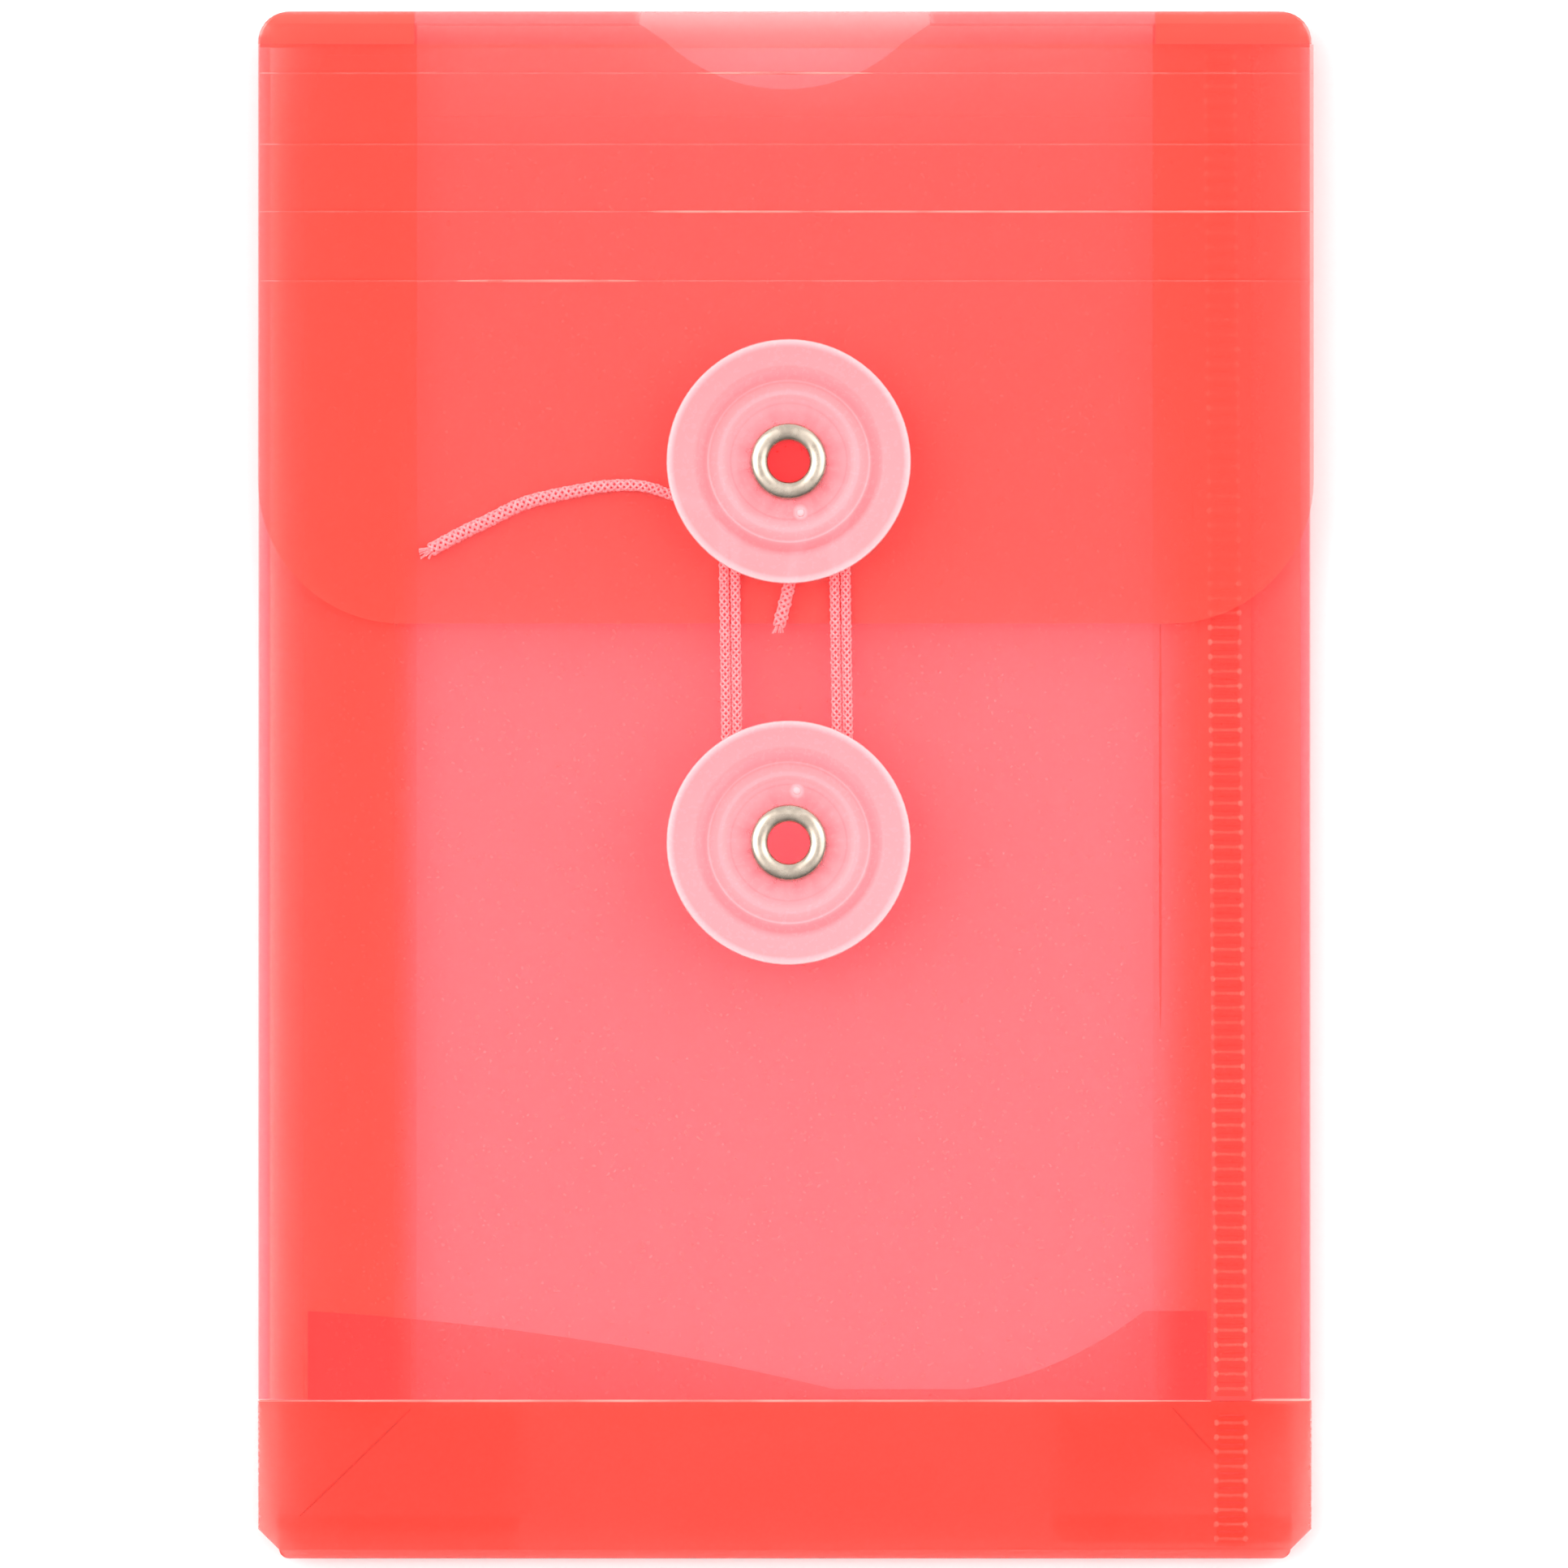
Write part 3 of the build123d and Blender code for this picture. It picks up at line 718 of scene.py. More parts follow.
def side_strip(node, finish, body_below):
    """The fold of a CAD node at the side, along the envelope."""
    low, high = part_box(node)
    outwards = 1 if abs(high[0]) > abs(low[0]) else -1
    bulge = -outwards if "inner" in node else outwards
    axis_x = low[0] if bulge > 0 else high[0]
    axis = Vector((axis_x, 0, (low[2] + high[2]) / 2))
    foot, top = low[1], mouth_top.get(node, high[1])
    under, over = low[2], low[2] + SHEET
    corners = [(axis_x, foot, under), (axis_x, top, under), (axis_x, top, over), (axis_x, foot, over)]
    form = rolled_fold(corners, axis, (0, 1, 0), -pi if bulge > 0 else pi)
    rule = faces_axis(True, axis)
    fold_strip(form, node + "_strip", node, finish, rule, body_below)


side_strip("left_rear_fold", side_finish, "back")
side_strip("right_rear_fold", side_finish, "back")
side_strip("left_inner_fold", left_gusset_finish, "left_gusset_rear_half")
side_strip("right_inner_fold", right_gusset_finish, "right_gusset_rear_half")
side_strip("left_front_fold", side_finish, "left_gusset_front_half")

# %% Top fold
TOP_CORNER = 3.3 * MM
low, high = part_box("top_fold")
foot, under, over = low[1], low[2], low[2] + SHEET
corners = [(low[0], foot, under), (high[0], foot, under), (high[0], foot, over), (low[0], foot, over)]
fold_axis = Vector((0, foot, (low[2] + high[2]) / 2))
corner_start = high[1] - TOP_CORNER
form = rolled_fold(corners, fold_axis, (1, 0, 0), pi)
round_ends(form, TOP_CORNER, lambda y: y - corner_start)
rule = faces_axis(False, fold_axis)
fold_strip(form, "top_fold_strip", "top_fold", top_finish, rule, "front")

# %% [markdown]
# ## Flap
# The flap is one sheet with rounded lower corners, a punched hole for the eyelet and four pressed scores, where it
# can be folded again over a fuller pocket. A rectangle gets its corners from a vertex bevel, is cut along the
# scores, and is extruded to the sheet's thickness. The scores' middle lines then sink in.

# %% Cutting and punching a sheet
HOLE_SEGMENTS = 32


def cut(form, spot, normal):
    """Adds the edges where a plane crosses the sheet."""
    bmesh.ops.bisect_plane(form, geom=[*form.verts, *form.edges, *form.faces], plane_co=spot, plane_no=normal)


def punch(form, x, y, z, radius):
    """A round hole in a flat sheet: a square round it is cut free, and its ring is bridged to a circle."""
    reach = 1.5 * radius
    for side in (-reach, reach):
        cut(form, (x + side, 0, 0), (1, 0, 0))
    for side in (-reach, reach):
        cut(form, (0, y + side, 0), (0, 1, 0))
    spot = Vector((x, y, z))
    middle = [face for face in form.faces if (face.calc_center_median() - spot).length < 0.2 * radius]
    square = list(middle[0].edges)
    bmesh.ops.delete(form, geom=middle, context="FACES_ONLY")
    bmesh.ops.subdivide_edges(form, edges=square, cuts=HOLE_SEGMENTS // 4 - 1)
    ring = []
    for edge in form.edges:
        furthest = max(max(abs(vertex.co.x - x), abs(vertex.co.y - y)) for vertex in edge.verts)
        if edge.is_boundary and furthest < reach * 1.01:
            ring.append(edge)
    turned = Matrix.Translation(spot) @ Matrix.Rotation(pi / 4, 4, "Z")
    circle = bmesh.ops.create_circle(form, segments=HOLE_SEGMENTS, radius=radius, matrix=turned)
    hole = list({edge for vertex in circle["verts"] for edge in vertex.link_edges})
    bmesh.ops.bridge_loops(form, edges=ring + hole)


def moved_verts(grown):
    """The vertices that an extrusion has made."""
    return [made for made in grown["geom"] if isinstance(made, bmesh.types.BMVert)]


# %% Flap with its scores
FLAP_RIGHT = HALF_WIDTH + 0.2 * MM
FLAP_CORNER, FLAP_CORNER_STEPS = 14.7 * MM, 20
FLAP_HOLE = 2.48 * MM
SCORE_HALF = 0.28 * MM
SCORE_DEPTH = 0.09 * MM
flap_strips = [f"flap_strip_{number}" for number in (1, 2, 3, 4)]
score_lines = [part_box(strip)[0][1] for strip in flap_strips]
flap_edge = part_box("flap_tongue")[0][1]
flap_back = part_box("flap_strip_1")[1][1]
outline = [(-HALF_WIDTH, flap_edge), (FLAP_RIGHT, flap_edge), (FLAP_RIGHT, flap_back), (-HALF_WIDTH, flap_back)]
form = bmesh.new()
form.faces.new([form.verts.new((x, y, FLAP_TOP)) for x, y in outline])
form.verts.ensure_lookup_table()
bmesh.ops.bevel(
    form, geom=[form.verts[0], form.verts[1]], offset=FLAP_CORNER, segments=FLAP_CORNER_STEPS, profile=0.5,
    affect="VERTICES", material=-1,
)
for score in score_lines:
    for shift in (-SCORE_HALF, 0, SCORE_HALF):
        cut(form, (0, score + shift, 0), (0, 1, 0))
punch(form, BUTTON_X, UPPER_Y, FLAP_TOP, FLAP_HOLE)
skin = bmesh.ops.extrude_face_region(form, geom=list(form.faces))
bmesh.ops.translate(form, verts=moved_verts(skin), vec=(0, 0, -SHEET))
for vertex in form.verts:
    if min(abs(vertex.co.y - score) for score in score_lines) < ROUNDING:
        vertex.co.z -= SCORE_DEPTH


def under_flap_or_top_fold(face):
    """True for the flap's underside and for its end at the top fold."""
    return faces_down(face) or face.normal.y > FACES_ALONG


make_piece(
    form, "flap_sheet", [flap_finish, clear_finish], "flap", (*flap_strips, "flap_tongue"), sharp=12,
    second=under_flap_or_top_fold,
)

# %% [markdown]
# ## Scores and creases
# A score or crease is drawn thin when it is pressed or folded, and that whitens the plastic. Each is a thin bead
# along the fold line, a narrow strip that is raised along its middle. The two upper scores have hardly been folded.
# The third is white to the right and the fourth to the left, where the flap was bent. Where a crease lies under
# other layers it looks deeper red instead.

# %% Whitened polypropylene
WHITE_STRETCH = 6 * MM


def whitened(name, cover, light="#FFD2C6", dark="#FFA59B"):
    """Polypropylene that a fold has whitened, in broken stretches."""
    finish, tree, surface, place = new_finish(name)
    breaks = add(tree, "TexNoise", {"Vector": place, "Scale": 1 / WHITE_STRETCH, "Detail": 2.0}).outputs["Fac"]
    paler = add(tree, "MapRange", {"Value": breaks, "From Min": 0.3, "From Max": 0.7}).outputs[0]
    colour = add(tree, "Mix", {0: paler, 6: linear(dark), 7: linear(light)}, data_type="RGBA").outputs[2]
    shown = add(tree, "MapRange", {"Value": paler, "To Min": cover * 0.7, "To Max": cover}).outputs[0]
    feed(tree, surface, {"Base Color": colour, "Alpha": shown, "Roughness": 0.3})
    return finish


bright_crease = whitened("whitened_polypropylene", 0.85)
clear_crease = whitened("whitened_polypropylene_half", 0.5, "#FFC8BC", "#FF9E96")
soft_crease = whitened("whitened_polypropylene_soft", 0.3, "#FFB4AC", "#FF8F88")
faint_crease = whitened("whitened_polypropylene_faint", 0.14, "#FFB4AC", "#FF8F88")
mitre_crease = whitened("deepened_polypropylene_soft", 0.55, "#E0382E", "#D43028")
print("creases", [crease.name for crease in (bright_crease, clear_crease, soft_crease, faint_crease, mitre_crease)])

# %% A bead along a score or crease
BEAD_HEIGHT, BEAD_DEPTH, BEAD_TOP = 0.04 * MM, 0.06 * MM, 0.4
BEAD_CUTS = 11
BEAD_END, BEAD_TAPER = 0.25, 6


def bead(name, start, end, half, finish, body, height=BEAD_HEIGHT):
    """A low ridge along a line, sunk a little into the sheet under it, that tapers to its ends."""
    way = (end - start).normalized()
    side = Vector((0, 0, 1)).cross(way).normalized() * half
    up = way.cross(side).normalized()
    foot, top = start - up * BEAD_DEPTH, start + up * height
    section = [foot - side, foot + side, top + side * BEAD_TOP, top - side * BEAD_TOP]
    form = bmesh.new()
    end_face = form.faces.new([form.verts.new(spot) for spot in section])
    grown = bmesh.ops.extrude_face_region(form, geom=[end_face])
    bmesh.ops.translate(form, verts=moved_verts(grown), vec=end - start)
    long_edges = [edge for edge in form.edges if edge.calc_length() > 0.9 * (end - start).length]
    bmesh.ops.subdivide_edges(form, edges=long_edges, cuts=BEAD_CUTS, use_grid_fill=True)
    for vertex in form.verts:
        share = (vertex.co - start).dot(way) / (end - start).length
        thin = min(1.0, BEAD_END + BEAD_TAPER * min(share, 1 - share))
        middle = start + (end - start) * share
        vertex.co = middle + (vertex.co - middle) * thin
    return make_piece(form, name, [finish], body)


# %% Scores across the flap: from and to, half their width in millimetres, and their finish
SCORE_LEFT, SCORE_RIGHT = -53.9, 54.15
score_beads = (
    ("first_score", SCORE_LEFT, SCORE_RIGHT, 1, 0.15, faint_crease),
    ("first_score_middle", -9.0, 9.0, 1, 0.16, clear_crease),
    ("second_score", SCORE_LEFT, SCORE_RIGHT, 2, 0.13, faint_crease),
    ("third_score_left", SCORE_LEFT, -12.0, 3, 0.13, faint_crease),
    ("third_score_right", -15.0, SCORE_RIGHT, 3, 0.14, clear_crease),
    ("third_score_white", -14.0, -4.0, 3, 0.15, clear_crease),
    ("fourth_score", SCORE_LEFT, SCORE_RIGHT, 4, 0.13, faint_crease),
    ("fourth_score_white", -33.5, -15.0, 4, 0.17, clear_crease),
    *[(f"score_{number}_left_end", SCORE_LEFT, -51.8, number, 0.15, soft_crease) for number in (1, 2, 3, 4)],
)
score_level = FLAP_TOP - SCORE_DEPTH + 0.02 * MM
for name, left, right, number, half, finish in score_beads:
    ends = [Vector((x * MM, score_lines[number - 1], score_level)) for x in (left, right)]
    bead(name, *ends, half * MM, finish, "flap")

# %% Creases of the pocket
ON_SHEET = 0.05 * MM
GUSSET_LINE_IN, GUSSET_LINE_ENDS = 0.75 * MM, (-25 * MM, 17 * MM)
MITRE_HALF = 0.14 * MM
WELD_HEIGHT = 0.15 * MM
crease_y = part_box("front_panel")[0][1]
seam_left, seam_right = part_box("side_weld")[0][0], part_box("side_weld")[1][0]
pocket_creases = (
    ("front_crease", -HALF_WIDTH, seam_left, FRONT_TOP, 0.16, clear_crease, "front", BEAD_HEIGHT),
    ("margin_crease", seam_right, HALF_WIDTH, FRONT_TOP - SHEET, 0.27, bright_crease, "front", BEAD_HEIGHT),
    ("rear_crease", HALF_WIDTH, -HALF_WIDTH, ON_SHEET, 0.17, bright_crease, "back", 0.0),
)
for name, left, right, z, half, finish, body, height in pocket_creases:
    bead(name, Vector((left, crease_y, z)), Vector((right, crease_y, z)), half * MM, finish, body, height)
low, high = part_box("right_inner_fold")
line_ends = [Vector((low[0] + GUSSET_LINE_IN, y, high[2] + 0.01 * MM)) for y in GUSSET_LINE_ENDS]
bead("right_gusset_line", *line_ends, MITRE_HALF, mitre_crease, "right_gusset_front_half")
weld_low, weld_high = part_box("bottom_weld")
lean = atan2(weld_high[2] - weld_low[2] - WELD_HEIGHT, weld_high[1] - weld_low[1])
leaning = Matrix.Translation((0, crease_y, FRONT_TOP)) @ Matrix.Rotation(lean, 4, "X")


def on_band(x, down):
    """A point on the bottom band, in millimetres across and down from its crease."""
    return leaning @ Vector((x * MM, -down * MM, 0.02 * MM))


bead("left_mitre_crease", on_band(-38.4, 0.9), on_band(-49.7, 11.9), MITRE_HALF, mitre_crease, "bottom_front")
bead("right_mitre_crease", on_band(39.7, 0.7), on_band(44.2, 5.6), MITRE_HALF, mitre_crease, "bottom_front")

# %% [markdown]
# ## Lap weld
# The front sheet is heat welded to the margin that comes round from the right gusset. The welding wheel leaves a
# ladder: a fused strip with rungs across the lap and a round dot at each end. A loop lays one step after another
# along the seam, which drifts a little to the left on its way up.

# %% Ladder of the weld
weld_finish = polypropylene("fused_polypropylene", "#FF3A22", cover=0.16, sides=1.0)
rung_finish = whitened("fused_polypropylene_rung", 0.34, "#F5483C", "#EC423A")
pale_finish = whitened("fused_polypropylene_pale", 0.07, "#FFA896", "#FF8E80")
dot_finish = whitened("fused_polypropylene_dot", 0.2, "#FFA896", "#FF8E80")
ladder_finishes = [weld_finish, rung_finish, dot_finish, pale_finish]
STRIP, RUNG, DOT, PALE_RUNG = range(4)
RUNG_PITCH, RUNG_REACH = 1.5 * MM, 1.45 * MM
STRIP_GAP, STRIP_HEIGHT = 0.02 * MM, 0.07 * MM
PALE_WIDTH, RUNG_WIDTH, RUNG_HEIGHT, RUNG_LIFT = 0.3 * MM, 0.2 * MM, 0.1 * MM, 0.04 * MM
RUNG_SHARE = 1.7 / 2
DOT_RADIUS, DOT_OUT, DOT_LIFT = 0.3 * MM, 0.05 * MM, 0.03 * MM
BAR_EASE = 0.03 * MM
WELD_DRIFT = 0.008
ON_FRONT = 0.03 * MM


def bar(form, middle, size, turn, finish_number):
    """A low bar of the weld, with its upper edges eased."""
    placed = turn @ Matrix.Translation(middle) @ Matrix.Diagonal((*size, 1))
    made = bmesh.ops.create_cube(form, size=1.0, matrix=placed)
    edges = list({edge for vertex in made["verts"] for edge in vertex.link_edges})
    eased_bar = bmesh.ops.bevel(
        form, geom=edges, offset=BAR_EASE, segments=1, profile=0.5, affect="EDGES", material=-1,
    )
    for vertex in eased_bar["verts"]:
        for face in vertex.link_faces:
            face.material_index = finish_number


def ladder(name, node, start_y, end_y, turn, body, height):
    """The fused strip with its rungs and dots along the lap, over the solid that they replace."""
    form = bmesh.new()
    middle_x = (seam_left + seam_right) / 2
    wide, rung_z = 2 * RUNG_REACH, height + RUNG_LIFT
    for number in range(int((end_y - start_y) / RUNG_PITCH)):
        y = start_y + (number + 0.5) * RUNG_PITCH
        x = middle_x - max(turn.translation.y + y - crease_y, 0.0) * WELD_DRIFT
        next_y = y + RUNG_PITCH / 2
        bar(form, Vector((x, y, height)), (wide, RUNG_PITCH - STRIP_GAP, STRIP_HEIGHT), turn, STRIP)
        bar(form, Vector((x, y, rung_z)), (wide, PALE_WIDTH, RUNG_HEIGHT), turn, PALE_RUNG)
        bar(form, Vector((x, next_y, rung_z)), (wide * RUNG_SHARE, RUNG_WIDTH, RUNG_HEIGHT), turn, RUNG)
        for way in (-1, 1):
            spot = Vector((x + way * (RUNG_REACH + DOT_OUT), y, height + DOT_LIFT))
            shape = turn @ Matrix.Translation(spot) @ Matrix.Diagonal((1, 1.3, 0.5, 1))
            dot = bmesh.ops.create_icosphere(form, subdivisions=1, radius=DOT_RADIUS, matrix=shape)
            for face in {face for vertex in dot["verts"] for face in vertex.link_faces}:
                face.material_index = DOT
    return make_piece(form, name, ladder_finishes, body, (node,))


level = Matrix.Identity(4)
side_start, side_end = crease_y + 0.5 * MM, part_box("side_weld")[1][1] - 0.5 * MM
ladder("side_weld_ladder", "side_weld", side_start, side_end, level, "front", FRONT_TOP + ON_FRONT)
ladder("bottom_weld_ladder", "bottom_weld", -15.0 * MM, -0.6 * MM, leaning, "bottom_front", ON_FRONT)

# %% [markdown]
# ## Buttons
# The buttons are injection moulded in milky clear plastic. Their faces have rings that the mould was turned with,
# streaks that flow out from the middle, and the stub of the gate. How milky a face looks by radius is partly
# painted
# light: it is raised at the rounded rim as a painted highlight and lowered at the ring steps and grooves as painted
# shade. The section is drawn as a few points and spun.

# %% Milky moulded plastic
BUTTON_RADIUS = 12.5 * MM
GATE_PLACE = 5.4 * MM
GATE_MARK = (1.5 * MM, 0.2 * MM)
STREAK_REACH, STREAK_STRETCH = (7.5 * MM, 4.0 * MM), 60.0
# Partly painted light: these levels are raised at the rounded rim as a painted highlight and lowered at the ring
# steps and grooves as painted shade.
RING_MILK_AND_SHADING = (  # how milky the button is at a share of its radius
    (0.30, 0.30), (0.37, 0.35), (0.44, 0.46), (0.465, 0.47), (0.475, 0.38), (0.49, 0.49), (0.52, 0.52),
    (0.555, 0.62), (0.575, 0.62), (0.59, 0.53), (0.645, 0.46), (0.66, 0.66), (0.672, 0.40), (0.69, 0.34),
    (0.73, 0.38), (0.79, 0.54), (0.935, 0.53), (0.965, 0.78), (1.0, 1.0),
)


def gate_spot(gate_turn):
    """Where the gate is, from the button's middle."""
    return GATE_PLACE * cos(radians(gate_turn)), GATE_PLACE * sin(radians(gate_turn))


def milky_plastic(name, x, y, gate_turn):
    """Milky clear moulding, centred on a button, with its rings, flow streaks and gate mark."""
    finish, tree, surface, place = new_finish(name)
    centred = add(tree, "Mapping", {"Vector": place, "Location": (-x, -y, 0)}).outputs[0]
    axes = add(tree, "SeparateXYZ", {"Vector": centred})
    flat = add(tree, "CombineXYZ", {"X": axes.outputs["X"], "Y": axes.outputs["Y"]}).outputs[0]
    radius = add(tree, "VectorMath", {0: flat}, operation="LENGTH").outputs["Value"]
    angle = add(tree, "Math", {0: axes.outputs["Y"], 1: axes.outputs["X"]}, operation="ARCTAN2").outputs[0]
    stretched = add(tree, "Math", {0: radius, 1: STREAK_STRETCH}, operation="MULTIPLY").outputs[0]
    round_place = add(tree, "CombineXYZ", {"X": angle, "Y": stretched}).outputs[0]
    streaks = add(tree, "TexNoise", {"Vector": round_place, "Scale": 4.0, "Detail": 1.0}).outputs["Fac"]
    share = add(tree, "Math", {0: radius, 1: BUTTON_RADIUS}, operation="DIVIDE").outputs[0]
    # The ring ramp carries a painted highlight at the rim and painted shade at the ring steps.
    rings = add(tree, "ValToRGB", {"Fac": share})
    stops = rings.color_ramp.elements
    stops[0].position, stops[1].position = RING_MILK_AND_SHADING[0][0], RING_MILK_AND_SHADING[-1][0]
    for spot, _ in RING_MILK_AND_SHADING[1:-1]:
        stops.new(spot)
    for stop, (_, level) in zip(stops, RING_MILK_AND_SHADING):
        stop.color = (level, level, level, 1)
    far, close = STREAK_REACH
    reach = {"Value": radius, "From Min": far, "From Max": close}
    near = add(tree, "MapRange", reach, interpolation_type="SMOOTHSTEP").outputs[0]
    strength = {"Value": streaks, "From Min": 0.35, "From Max": 0.65, "To Min": -0.03, "To Max": 0.07}
    streak = add(tree, "MapRange", strength).outputs[0]
    streak = add(tree, "Math", {0: streak, 1: near}, operation="MULTIPLY").outputs[0]
    milk = add(tree, "Math", {0: rings.outputs["Color"], 1: streak}, operation="ADD").outputs[0]
    gate = {0: flat, 1: (*gate_spot(gate_turn), 0)}
    from_gate = add(tree, "VectorMath", gate, operation="DISTANCE").outputs["Value"]
    far, close = GATE_MARK
    reach = {"Value": from_gate, "From Min": far, "From Max": close, "To Max": 0.85}
    mark = add(tree, "MapRange", reach, interpolation_type="SMOOTHSTEP").outputs[0]
    milk = add(tree, "Math", {0: milk, 1: mark}, operation="MAXIMUM").outputs[0]
    cover = add(tree, "MapRange", {"Value": milk, "To Min": 0.26, "To Max": 0.66}).outputs[0]
    fine = add(tree, "TexNoise", {"Vector": place, "Scale": 1 / (0.5 * MM), "Detail": 2.0}).outputs["Fac"]
    rough = add(tree, "MapRange", {"Value": fine, "To Min": 0.18, "To Max": 0.34}).outputs[0]
    bump = add(tree, "Bump", {"Height": streaks, "Strength": 0.03, "Distance": 0.1 * MM}).outputs["Normal"]
    tones = {0: milk, 6: linear("#FF7080"), 7: linear("#FFD8DC")}
    tint = add(tree, "Mix", tones, data_type="RGBA").outputs[2]
    feed(tree, surface, {"Base Color": tint, "Alpha": cover, "Roughness": rough, "Normal": bump, "IOR": 1.5})
    return finish


# %% Turned button
SPIN_STEPS = 96
GATE_RADIUS, GATE_HEIGHT, GATE_FLATNESS = 0.42 * MM, 3.72 * MM, 0.45
BUTTON_SECTION = [
    (2.5, 0.05), (3.9, 0.05), (3.9, 2.9), (12.1, 3.1), (12.42, 3.25), (12.5, 3.5), (12.5, 3.85), (12.42, 4.1),
    (12.15, 4.2), (11.9, 4.14), (9.95, 4.12), (9.7, 4.08), (9.44, 3.95), (9.2, 4.05), (9.0, 4.16), (8.5, 4.2),
    (8.3, 4.14), (8.1, 3.94), (7.9, 3.9), (6.95, 3.9), (6.75, 3.86), (6.5, 3.72), (6.3, 3.7), (2.5, 3.7),
]


def spun(section, x, y, base):
    """A full turn of a section of (radius, height) in millimetres, about an upright axis."""
    form = bmesh.new()
    spots = [form.verts.new((x + radius * MM, y, base + height * MM)) for radius, height in section]
    edges = [form.edges.new((spots[number - 1], spots[number])) for number in range(len(spots))]
    bmesh.ops.spin(
        form, geom=spots + edges, cent=(x, y, base), axis=(0, 0, 1), angle=2 * pi, steps=SPIN_STEPS,
        use_merge=True, use_duplicate=False,
    )
    return form


def turned_button(name, node, y, base, body, gate_turn):
    """A button with the stub of its gate."""
    form = spun(BUTTON_SECTION, BUTTON_X, y, base)
    gate_x, gate_y = gate_spot(gate_turn)
    spot = Matrix.Translation((BUTTON_X + gate_x, y + gate_y, base + GATE_HEIGHT))
    stub = spot @ Matrix.Diagonal((1, 1, GATE_FLATNESS, 1))
    bmesh.ops.create_uvsphere(form, u_segments=16, v_segments=8, radius=GATE_RADIUS, matrix=stub)
    finish = milky_plastic(f"milky_moulding_{node}", BUTTON_X, y, gate_turn)
    return make_piece(form, name, [finish], body, (node,), sharp=50)


turned_button("upper_button_moulding", "upper_button", UPPER_Y, FLAP_TOP, "upper_disc", -77)
turned_button("lower_button_moulding", "lower_button", LOWER_Y, FRONT_TOP, "lower_disc", 81)

# %% [markdown]
# ## Eyelets
# An eyelet is a drawn brass tube with a warm nickel plate, rolled over the button on top and clinched under the
# sheet. Its dome is what catches the light, so the section has many points there. The wall of its hole is a
# smoother and much lighter copy of the same nickel, which is painted light: it stands for the light in the hole and
# sends more of it down to the red sheet below.

# %% Nickel plate
WEAR = 1.2 * MM


def nickel_plate(name, dark, light, smooth, worn):
    """Warm nickel plate between two tones and two roughnesses, in patches of wear."""
    finish, tree, surface, place = new_finish(name)
    wear = add(tree, "TexNoise", {"Vector": place, "Scale": 1 / WEAR, "Detail": 4.0}).outputs["Fac"]
    plate = add(tree, "ValToRGB", {"Fac": wear})
    for stop, share, tone in zip(plate.color_ramp.elements, (0.35, 0.7), (dark, light)):
        stop.position, stop.color = share, linear(tone)
    rough = add(tree, "MapRange", {"Value": wear, "To Min": smooth, "To Max": worn}).outputs[0]
    feed(tree, surface, {"Base Color": plate.outputs["Color"], "Roughness": rough, "Metallic": 1.0})
    return finish


nickel_finish = nickel_plate("nickel_plated_brass", "#B4A698", "#D0C2B2", 0.2, 0.34)
# Painted light: the bore is a smoother, much lighter copy of the same nickel, so more light reaches down the hole.
lit_bore_finish = nickel_plate("nickel_plated_bore_painted_light", "#FFF6EC", "#FFFDF8", 0.03, 0.08)
print("finishes", nickel_finish.name, lit_bore_finish.name)

# %% Rolled eyelets, whose sections are in millimetres
DOME_POINTS = 11
DOME_RADIUS, DOME_HALF = 3.025, 0.875
DOME_FOOT, DOME_RISE = 3.95, 0.5
BORE_RADIUS, BORE_TOP = 2.25 * MM, 3.7 * MM
dome = []
for number in range(DOME_POINTS + 1):
    turn = pi * number / DOME_POINTS
    dome.append((DOME_RADIUS + DOME_HALF * cos(turn), DOME_FOOT + DOME_RISE * sin(turn)))
CLINCH = [(2.15, -0.75), (2.3, -0.88), (3.1, -0.9), (3.4, -0.8), (3.5, -0.6), (3.42, -0.42), (2.45, -0.4)]
EYELET_SECTION = [(2.45, 3.69), (3.86, 3.69), *dome, *CLINCH]


def rolled_eyelet(name, node, y, base, body):
    """An eyelet through a button and the sheet under it."""
    def in_bore(face):
        """True for the wall of the hole, which stays bright."""
        middle = face.calc_center_median()
        return hypot(middle.x - BUTTON_X, middle.y - y) < BORE_RADIUS and middle.z < base + BORE_TOP

    form = spun(EYELET_SECTION, BUTTON_X, y, base)
    return make_piece(form, name, [nickel_finish, lit_bore_finish], body, (node,), sharp=60, second=in_bore)


rolled_eyelet("upper_eyelet_rolled", "upper_eyelet", UPPER_Y, FLAP_TOP, "flap")
rolled_eyelet("lower_eyelet_rolled", "lower_eyelet", LOWER_Y, FRONT_TOP, "front")

# %% [markdown]
# ## Floor and light
# The floor is plain white. A dome of soft light stands over it, bright towards the flap's side and dim towards the
# bottom, with two soft panels to the left and right. Metal shows what it reflects, so these give each eyelet its
# light crescents and its dark lower edge. Light passes many thin layers here, so rays may go through more of them.
# A lamp would send a ray through all the layers from every point that is lit, and a dome needs none.

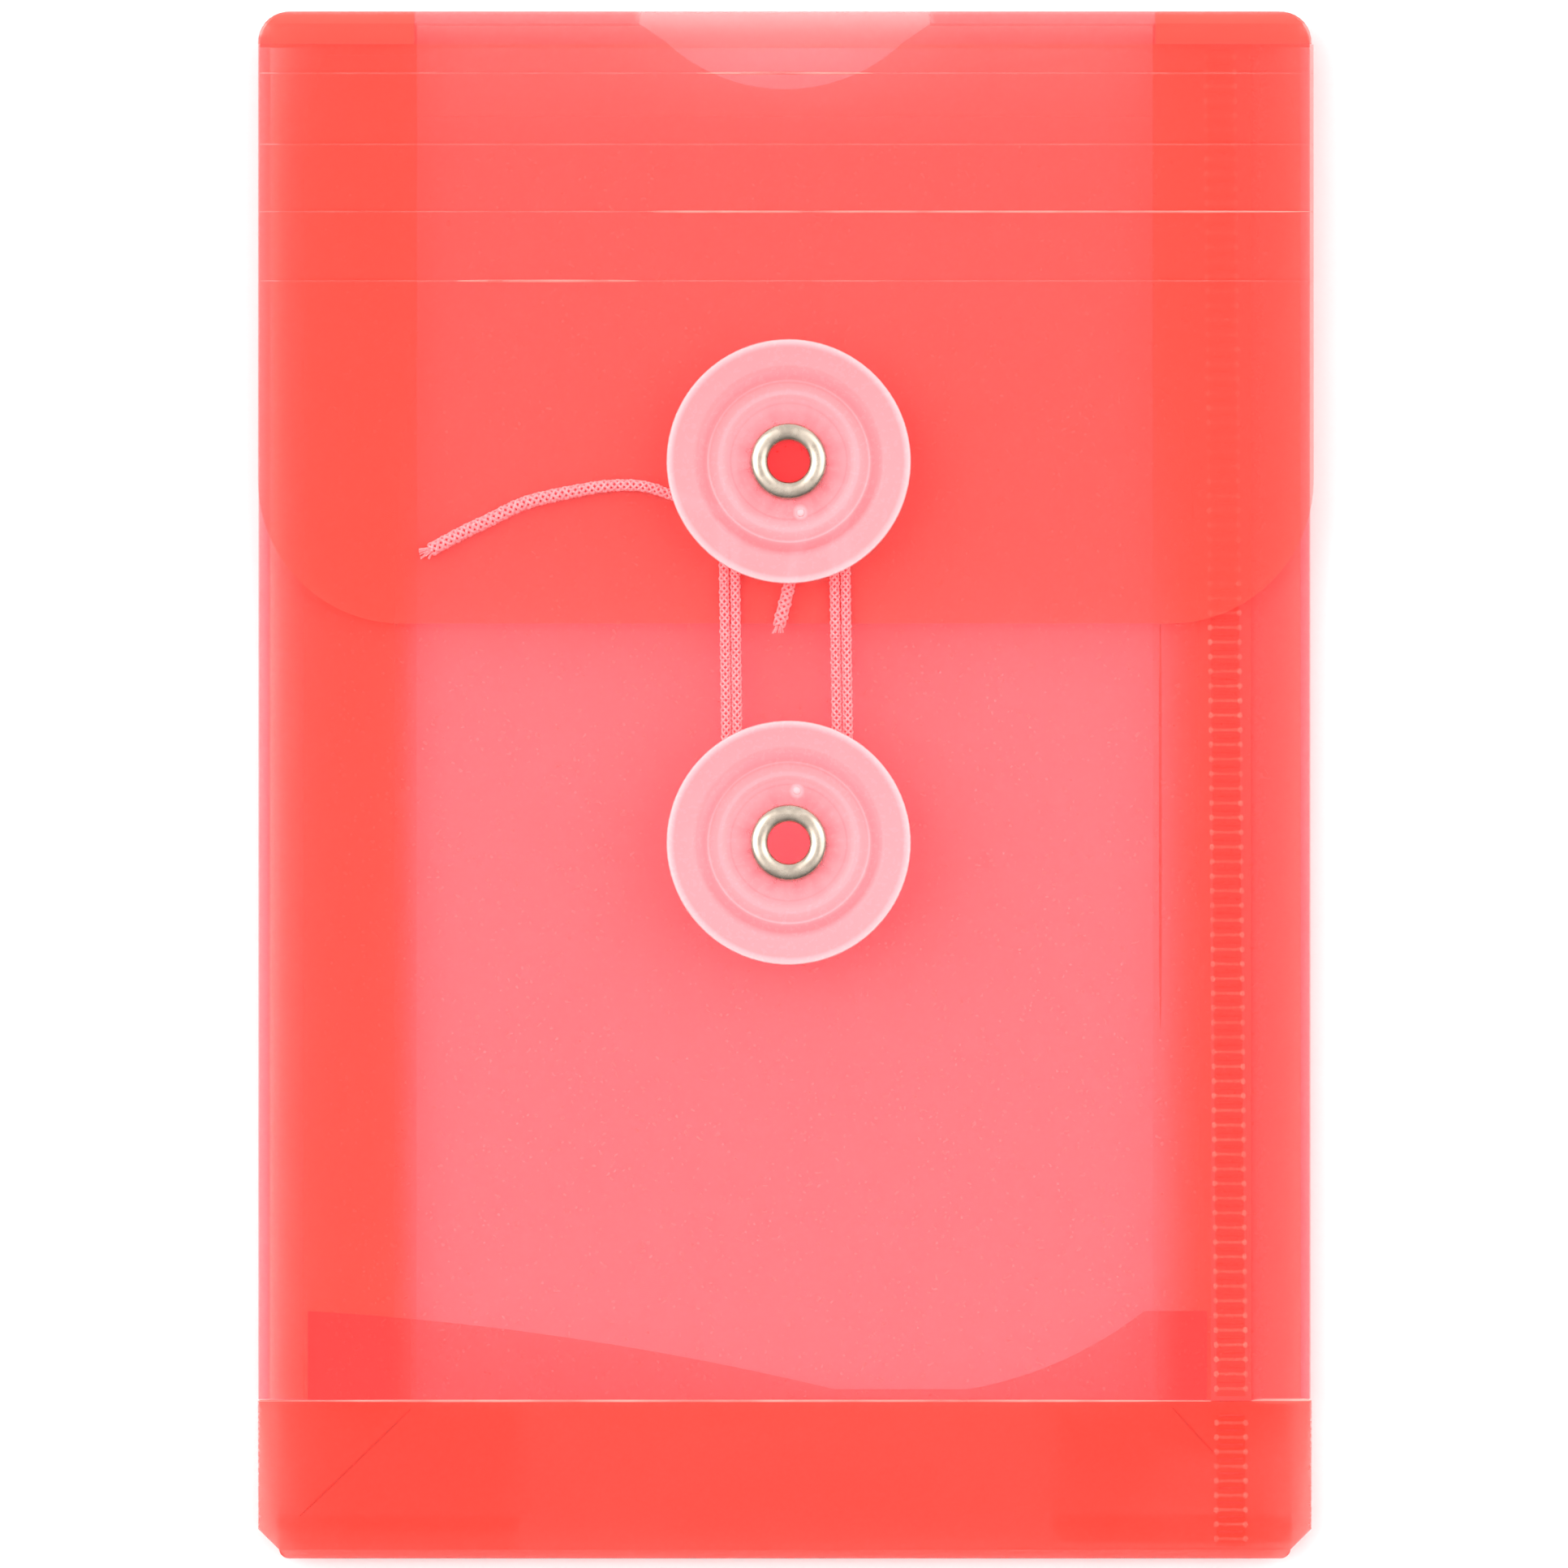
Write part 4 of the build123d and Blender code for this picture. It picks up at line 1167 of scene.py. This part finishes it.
# %% Floor
FLOOR_HALF, FLOOR_BELOW = 3.0, 0.05 * MM
form = bmesh.new()
floor_place = Matrix.Translation((0, 0, -FLOOR_BELOW))
bmesh.ops.create_grid(form, x_segments=1, y_segments=1, size=FLOOR_HALF, matrix=floor_place)
floor_mesh = bpy.data.meshes.new("floor")
form.to_mesh(floor_mesh)
form.free()
floor = bpy.data.objects.new("floor", floor_mesh)
scene.collection.objects.link(floor)
floor_finish, tree, surface, _ = new_finish("white_paper_floor")
feed(tree, surface, {"Base Color": linear("#F6F6F6"), "Roughness": 0.9, "Specular IOR Level": 0.1})
floor_mesh.materials.append(floor_finish)
print("floor", 2 * FLOOR_HALF, "m across")

# %% Light
FLAP_SIDE = Vector((-0.1, 0.8, 0.6)).normalized()
DIM, BRIGHT, DIM_TO_BRIGHT = 0.2, 1.2, (-0.5, 0.7)
SIDE_PANELS = (((-0.62, 0.15, 0.77), 2.9), ((0.66, 0.15, 0.74), 2.0))
PANEL_EDGE = (0.85, 0.97)
world = bpy.data.worlds.new("soft_white_dome")
world.use_nodes = True
tree = world.node_tree
direction = add(tree, "TexCoord").outputs["Generated"]
turned = add(tree, "VectorMath", {0: direction, 1: FLAP_SIDE}, operation="DOT_PRODUCT").outputs["Value"]
low, high = DIM_TO_BRIGHT
dome_light = {"Value": turned, "From Min": low, "From Max": high, "To Min": DIM, "To Max": BRIGHT}
light = add(tree, "MapRange", dome_light).outputs[0]
low, high = PANEL_EDGE
for middle, strength in SIDE_PANELS:
    towards = {0: direction, 1: Vector(middle).normalized()}
    facing = add(tree, "VectorMath", towards, operation="DOT_PRODUCT").outputs["Value"]
    panel = {"Value": facing, "From Min": low, "From Max": high, "To Max": strength}
    glow = add(tree, "MapRange", panel, interpolation_type="SMOOTHSTEP").outputs[0]
    light = add(tree, "Math", {0: light, 1: glow}, operation="ADD").outputs[0]
feed(tree, tree.nodes["Background"], {"Strength": light, "Color": (1, 1, 1, 1)})
world.cycles.sampling_method = "NONE"
scene.world = world
scene.view_settings.view_transform = "Standard"
scene.cycles.transparent_max_bounces = 32
scene.cycles.max_bounces = 12
scene.cycles.diffuse_bounces = 8
scene.cycles.glossy_bounces = 8
print("light from a dome and", len(SIDE_PANELS), "panels")

# %% Last update of the scene
bpy.context.view_layer.update()
